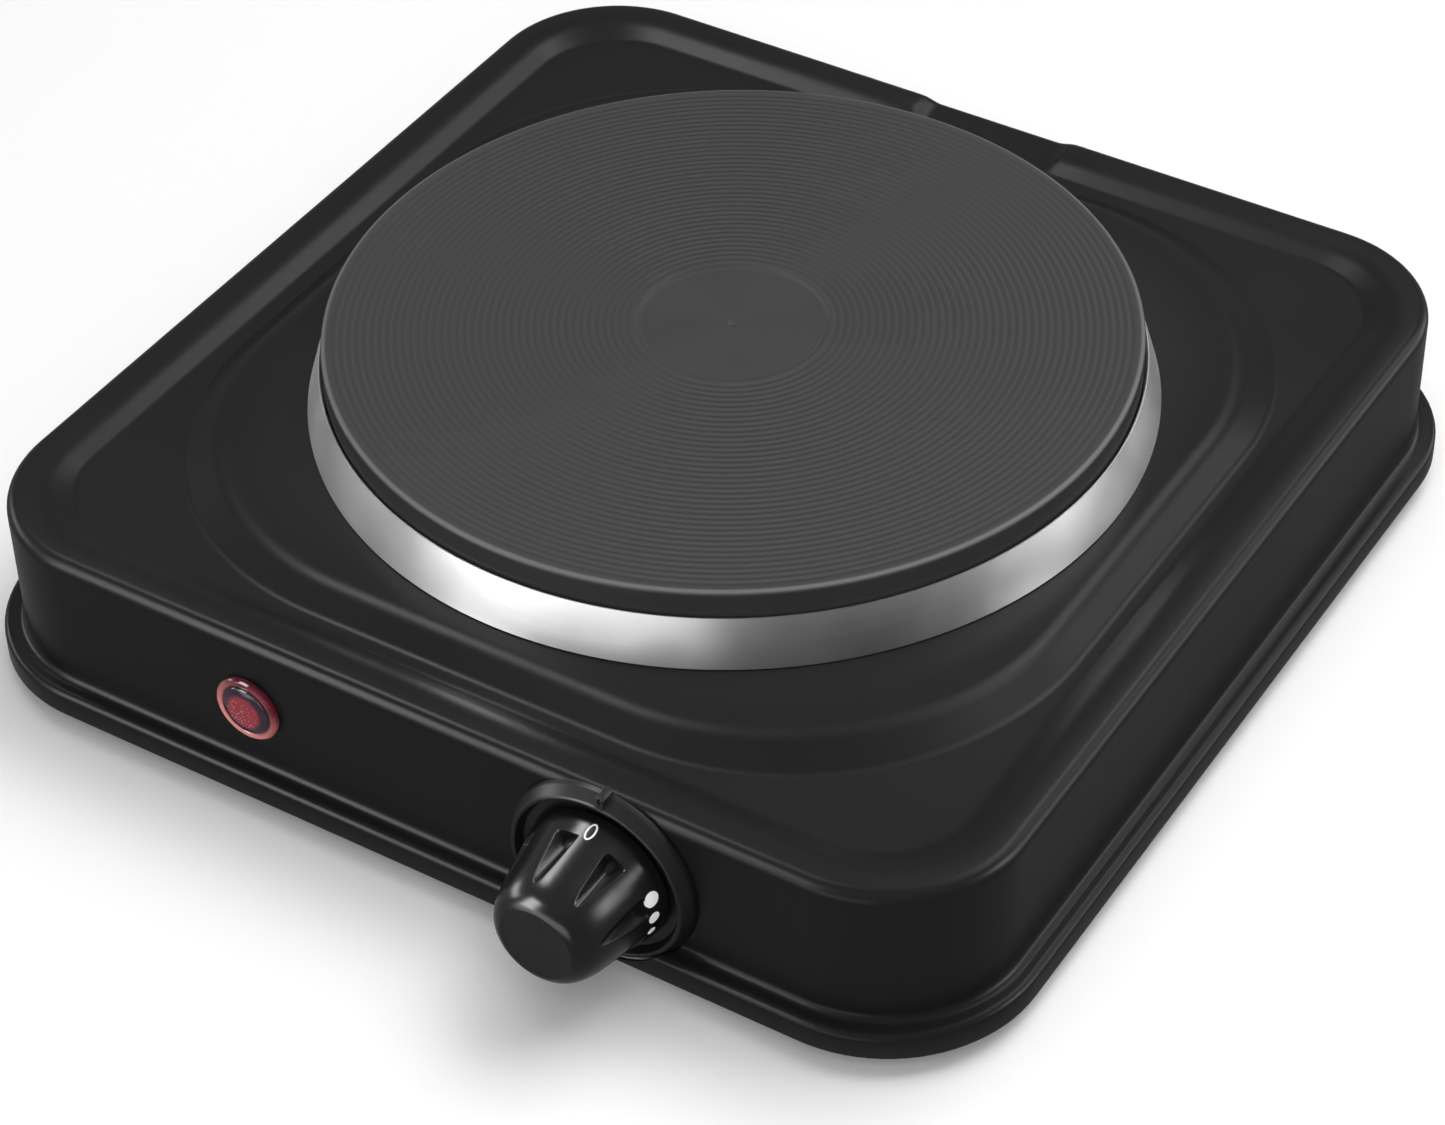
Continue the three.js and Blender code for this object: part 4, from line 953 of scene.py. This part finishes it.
def fluted_ring(radius, height):
    """One round of the knob's outside, with points that follow the edges and floors of its flutes."""
    inside = [0, 0.05, 0.15, 0.35, 0.6, 0.82, 0.93]
    beside = [0, 0.02, 0.06, 0.15, 0.3, 0.5, 0.75]
    half_sector = math.pi / FLUTES * radius
    half = min(flute_half(radius, height), half_sector * 0.6)
    offsets = [share * half for share in inside]
    offsets += [half + share * (half_sector - half) for share in beside]
    offsets = [-offset for offset in reversed(offsets[1:])] + offsets + [half_sector]
    ring = []
    for flute in range(FLUTES):
        for across in offsets:
            angle = math.radians(FLUTE_TURN) + 2 * math.pi * flute / FLUTES + across / radius
            r = radius - flute_depth(across, radius, height)
            ring.append((r * math.sin(angle), r * math.cos(angle), height))
    return ring


def knob():
    """One closed skin: the bore, the hub, the hollow around it, the fluted outside and the face."""
    bore = SPINDLE_R + 0.3
    inside = [
        (0.3, SPINDLE_END + 0.5),
        (bore, SPINDLE_END + 0.5),
        (bore, KNOB_HUB_END),
        (KNOB_HUB_R, KNOB_HUB_END),
        (KNOB_HUB_R, KNOB_CEILING),
        (KNOB_HOLLOW_R, KNOB_CEILING),
        (KNOB_BASE_R - 2.0, KNOB_SKIRT),
        (KNOB_BASE_R - 0.3, KNOB_SKIRT),
    ]
    face = [(KNOB_FACE_R - 0.25, KNOB_REACH - 0.02), (KNOB_FACE_R - 1.2, KNOB_REACH - 0.1)]
    face += [(r, KNOB_REACH - 0.1) for r in (5.5, 3.0, 1.0)]
    rings = [fluted_ring(r, height) for r, height in [*inside, *knob_outline(), *face]]
    piece = add_mesh("knob_moulded", *capped(rings), on_wall("knob", -1), sharp=48)
    settle(piece, KNOB_PLASTIC, "knob_plastic", "knob", body="control")


def mark(centre_angle, centre_height, half_wide, half_tall, stroke=None):
    """A thin print on the knob's cone: an ellipse, or with a stroke an elliptical ring."""
    around = 64
    inner = 0.02 if stroke is None else 1 - stroke / half_wide
    shares = [inner + (1 - inner) * s for s in (0, 0.33, 0.67, 1)]
    lifts = [(share, 0.035) for share in shares] + [(share, -0.3) for share in reversed(shares)]
    rings = []
    for share, lift in lifts:
        ring = []
        for step in range(around):
            turn = 2 * math.pi * step / around
            tall = half_tall - half_wide + half_wide * share if stroke else half_tall * share
            height = centre_height + tall * math.sin(turn)
            radius = knob_radius(height) + lift
            angle = math.radians(centre_angle) + half_wide * share * math.cos(turn) / knob_radius(height)
            ring.append((radius * math.sin(angle), radius * math.cos(angle), height))
        rings.append(ring)
    return skin(rings, loop=True)


def knob_marks():
    shapes = [mark(*ZERO_MARK, stroke=ZERO_STROKE)]
    for angle, height, size in DOTS:
        shapes.append(mark(angle, height, size / 2, size / 2))
    piece = add_mesh("knob_marks", *merged(shapes), on_wall("knob", -1))
    settle(piece, INK, None, body="control")


def knob_bezel():
    corners = [
        (KNOB_HUB_R, GAP, 0), (BEZEL_R, GAP, 0.15), (BEZEL_R - 0.35, 1.6, 0.8),
        (BEZEL_R - 1.7, BEZEL_REACH - 0.25, 0.4), (BEZEL_R - 2.1, BEZEL_REACH, 0.2),
        (BEZEL_R - 2.7, BEZEL_REACH - 0.1, 0.2), (BEZEL_R - 3.5, BEZEL_FLOOR, 0.4),
        (KNOB_HUB_R, BEZEL_FLOOR, 0),
    ]
    place = on_wall("knob", -1)
    bezel = turned("knob_bezel_moulded", corners, place, segments=192)
    rib = box_shape((-0.95, BEZEL_R - 2.5, GAP), (0.95, BEZEL_R + 0.75, BEZEL_REACH - 0.1))
    place = place @ Matrix.Rotation(-math.radians(POINTER_TURN), 4, "Z")
    combine(bezel, [rib], "UNION", place)
    groove = box_shape((-0.28, BEZEL_R - 0.2, -1), (0.28, BEZEL_R + 2, BEZEL_REACH - 1))
    tilt = Matrix.Rotation(math.radians(12), 4, "X")
    hole = rod_shape(SCREW_HOLE_R, -1, 3, 24)
    holes = [moved(hole, x=side * SCREW_PITCH / 2) for side in (-1, 1)]
    combine(bezel, [moved(groove, turn=tilt), *holes], "DIFFERENCE", place)
    soften(bezel, 0.12)
    settle(bezel, BEZEL_PLASTIC, "knob_plastic", "knob_bezel")


# ---------------------------------------------------------------- lamp


def lamp_lens():
    hollow = LAMP_SLEEVE_R - 1.2
    corners = [
        (0, -0.4, 0), (hollow - 0.8, -0.4, 0.3), (hollow, -1.6, 0.3), (hollow, LAMP_SLEEVE_END, 0),
        (LAMP_SLEEVE_R, LAMP_SLEEVE_END, 0), (LAMP_SLEEVE_R, GAP, 0), (LAMP_FLANGE_R, GAP, 0.15),
        (LAMP_FLANGE_R, 1.25, 0.35), (LAMP_FLANGE_R - 0.5, 1.75, 0.5), (LAMP_BAND_R + 0.35, 1.7, 0.3),
        (LAMP_BAND_R, 1.25, 0.15), (LAMP_BAND_R - 0.25, 1.95, 0.6), (LAMP_PAD_R, 2.55, 2.5),
        (0, 2.75, 0),
    ]
    place = on_wall("lamp_lens", -1)
    lens = turned("lamp_lens_moulded", corners, place, segments=144, steps=6, sharp=50)
    settle(lens, LENS, "lens_red", "lamp_lens")


# ---------------------------------------------------------------- base, feet and gland


def slot_shape(length, width, low, high, steps=12):
    """A through slot with round ends, long along X."""
    outline = []
    for side in (1, -1):
        for step in range(steps + 1):
            angle = -math.pi / 2 + math.pi * step / steps
            along = side * ((length - width) / 2 + width / 2 * math.cos(angle))
            outline.append((along, side * width / 2 * math.sin(angle)))
    return capped([[(x, y, height) for x, y in outline] for height in (low, high)])


def pan_holes():
    """Two banks of vent slots, and holes for the feet's and the fittings' screws."""
    holes = []
    for side in (-1, 1):
        for row in range(-VENT_ROWS, VENT_ROWS + 1):
            slot = slot_shape(VENT_LENGTH, VENT_WIDTH, -1, 3)
            holes.append(moved(slot, x=side * VENT_X, y=row * VENT_PITCH))
    feet = [(-1, -1), (1, -1), (1, 1), (-1, 1)]
    for x, y in [*((x * FOOT_REACH, y * FOOT_REACH) for x, y in feet), *FITTING_SCREWS]:
        holes.append(moved(rod_shape(PAN_HOLE_R, -1, 3, 32), x=x, y=y))
    return holes


def base_pan():
    inside = PAN_HALF - PAN_CORNER_IN
    corners = [
        (inside, PAN_LOW, 0),
        (PAN_HALF, PAN_LOW, PAN_BEND),
        (PAN_HALF, PAN_TOP, 0),
        (PAN_HALF - SHEET, PAN_TOP, 0),
        (PAN_HALF - SHEET, PAN_LOW + SHEET, PAN_BEND - SHEET),
        (inside, PAN_LOW + SHEET, 0),
    ]
    rings = []
    for reach, height, _ in rounded(corners, steps=5):
        straight = FLANGE_STRAIGHT if reach > PAN_HALF - 10 else FLANGE_STRAIGHT - 10
        rings.append([(x, y, height) for x, y in rounded_square(reach, straight)])
    pan = add_mesh("base_pan_pressed", *capped(rings))
    combine(pan, pan_holes(), "DIFFERENCE")
    combine(pan, [bezel_relief()], "DIFFERENCE", on_wall("knob", -1))
    settle(pan, GALVANISED, "galvanised", "base_pan")


def foot(corner):
    node = "foot_" + corner
    low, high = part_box(node)
    under = Vector(((low.x + high.x) / 2, (low.y + high.y) / 2, low.z))
    place = Matrix.Translation(under) @ Matrix.Scale(MM, 4)
    tall = (high.z - low.z) / MM
    seat = tall - FOOT_NECK
    corners = [
        (FOOT_BORE_R, 0, 0.3), (FOOT_BOTTOM_R, 0, 0.7), (8.6, 2.2, 0.2), (8.3, 2.5, 0.15),
        (8.35, FOOT_NECK, 0.15), (8.85, 3.1, 0.2), (9.4, tall, 0.4), (FOOT_HOLE_R, tall, 0.1),
        (FOOT_HOLE_R, seat, 0.2), (FOOT_BORE_R, seat, 0.2),
    ]
    piece = turned("rubber_" + node, corners, place, segments=72)
    settle(piece, RUBBER, "rubber", node)


def cord_gland():
    inside = -SHEET - GAP
    corners = [
        (GLAND_BORE_R, inside - 3, 0.4), (8.2, inside - 3, 0.5), (8.9, inside, 0.2),
        (GLAND_NECK_R, inside, 0), (GLAND_NECK_R, GAP, 0), (GLAND_FLANGE_R, GAP, 0.2),
        (GLAND_FLANGE_R, 1.5, 0.5), (7.4, GLAND_TOP, 0.9), (GLAND_BORE_R + 0.3, GLAND_TOP, 0.3),
        (GLAND_BORE_R, 2.6, 0.3),
    ]
    gland = turned("cord_gland_moulded", corners, on_wall("cord_gland", 1), segments=96)
    settle(gland, RUBBER, "rubber", "cord_gland")


# ---------------------------------------------------------------- stage


def floor():
    size = 3.0
    corners = [(-size, -size, 0), (size, -size, 0), (size, size, 0), (-size, size, 0)]
    mesh = bpy.data.meshes.new("floor")
    mesh.from_pydata(corners, [], [(0, 1, 2, 3)])
    piece = bpy.data.objects.new("floor", mesh)
    bpy.context.scene.collection.objects.link(piece)
    paper = Finish("floor_paper", (0.89, 0.89, 0.89), 0.9, specular=0.1)
    paper.colour(paper.mix(paper.noise(3, 2), (0.88, 0.88, 0.88), (0.9, 0.9, 0.9)))
    mesh.materials.append(paper.material)
    piece.visible_glossy = False


def softbox(name, azimuth, elevation, distance, size, power, shine):
    """A light that looks at the hot plate from a direction seen from it, azimuth 0 being -Y.

    With shine it gives only its mirror image, and without it only light that has none.
    """
    a, e = math.radians(azimuth), math.radians(elevation)
    away = Vector((math.sin(a) * math.cos(e), -math.cos(a) * math.cos(e), math.sin(e)))
    data = bpy.data.lights.new(name, "AREA")
    data.shape = "RECTANGLE"
    data.size, data.size_y = size
    data.energy = power
    lamp = bpy.data.objects.new(name, data)
    lamp.location = AXIS + away * distance
    lamp.visible_camera = False
    lamp.visible_diffuse = not shine
    lamp.visible_glossy = shine
    lamp.rotation_euler = away.to_track_quat("Z", "Y").to_euler()
    bpy.context.scene.collection.objects.link(lamp)


def studio_world():
    """Soft light from all round, brighter on the left and behind than on the right."""
    world = bpy.data.worlds.new("studio")
    world.use_nodes = True
    tree = world.node_tree
    direction = tree.nodes.new("ShaderNodeTexCoord").outputs["Generated"]
    along = tree.nodes.new("ShaderNodeVectorMath")
    along.operation = "DOT_PRODUCT"
    along.inputs[1].default_value = (-0.94, 0.34, 0.0)
    tree.links.new(direction, along.inputs[0])
    level = tree.nodes.new("ShaderNodeMapRange")
    for socket, number in zip(RANGE_SOCKETS, (-1, 1, 0.17, 0.28)):
        level.inputs[socket].default_value = number
    tree.links.new(along.outputs["Value"], level.inputs["Value"])
    background = tree.nodes["Background"]
    background.inputs["Color"].default_value = (1, 1, 1, 1)
    tree.links.new(level.outputs["Result"], background.inputs["Strength"])
    bpy.context.scene.world = world


# Each light's name, azimuth, elevation, distance, size and power, in degrees, metres and watts.
SOFT_LIGHTS = (
    ("overhead", 155, 84, 1.5, (1.5, 1.5), 11),
    ("key", 142, 62, 1.6, (1.3, 0.9), 14),
    ("fill", 30, 40, 1.6, (1.2, 1.0), 10),
)
SHINE_CARDS = (
    ("top_card", 155, 84, 1.5, (0.65, 0.65), 8),
    ("rear_card", 148, 58, 1.6, (0.8, 0.4), 4),
    ("left_high", -103, 61, 1.4, (0.35, 0.35), 5),
    ("left_middle", -31, 23, 1.4, (0.5, 0.9), 15),
    ("left_corner", -78, 13, 1.4, (0.8, 0.3), 4.5),
    ("left_low", -11, 0, 1.4, (2.0, 0.5), 6.5),
    ("rear_high", 178, 50, 1.4, (0.4, 0.35), 2.4),
    ("right_middle", 142, 30, 1.4, (0.5, 0.6), 2.8),
    ("right_low", 134, 2, 1.4, (1.3, 0.5), 5.5),
    ("side", 107, 16, 1.4, (0.45, 0.45), 6),
)


def lights():
    """Three lights for the whole object, and cards that are only seen as shine on it."""
    studio_world()
    for light in SOFT_LIGHTS:
        softbox(*light, shine=False)
    for card in SHINE_CARDS:
        softbox(*card, shine=True)


def camera():
    data = bpy.data.cameras.new("camera")
    data.lens = CAMERA_LENS
    data.sensor_width = 36
    data.sensor_fit = "HORIZONTAL"
    data.clip_start = 0.01
    view = bpy.data.objects.new("camera", data)
    view.location = DRAWING @ Vector(CAMERA_PLACE)
    view.rotation_euler = [math.radians(turn) for turn in CAMERA_TURNS]
    bpy.context.scene.collection.objects.link(view)
    bpy.context.scene.camera = view


bpy.context.scene.view_settings.view_transform = "Standard"
camera()
finish_cad_nodes()
housing_shell()
hot_plate()
spill_ring()
knob()
knob_marks()
knob_bezel()
lamp_lens()
base_pan()
for corner in ("front_left", "front_right", "rear_right", "rear_left"):
    foot(corner)
cord_gland()
floor()
lights()
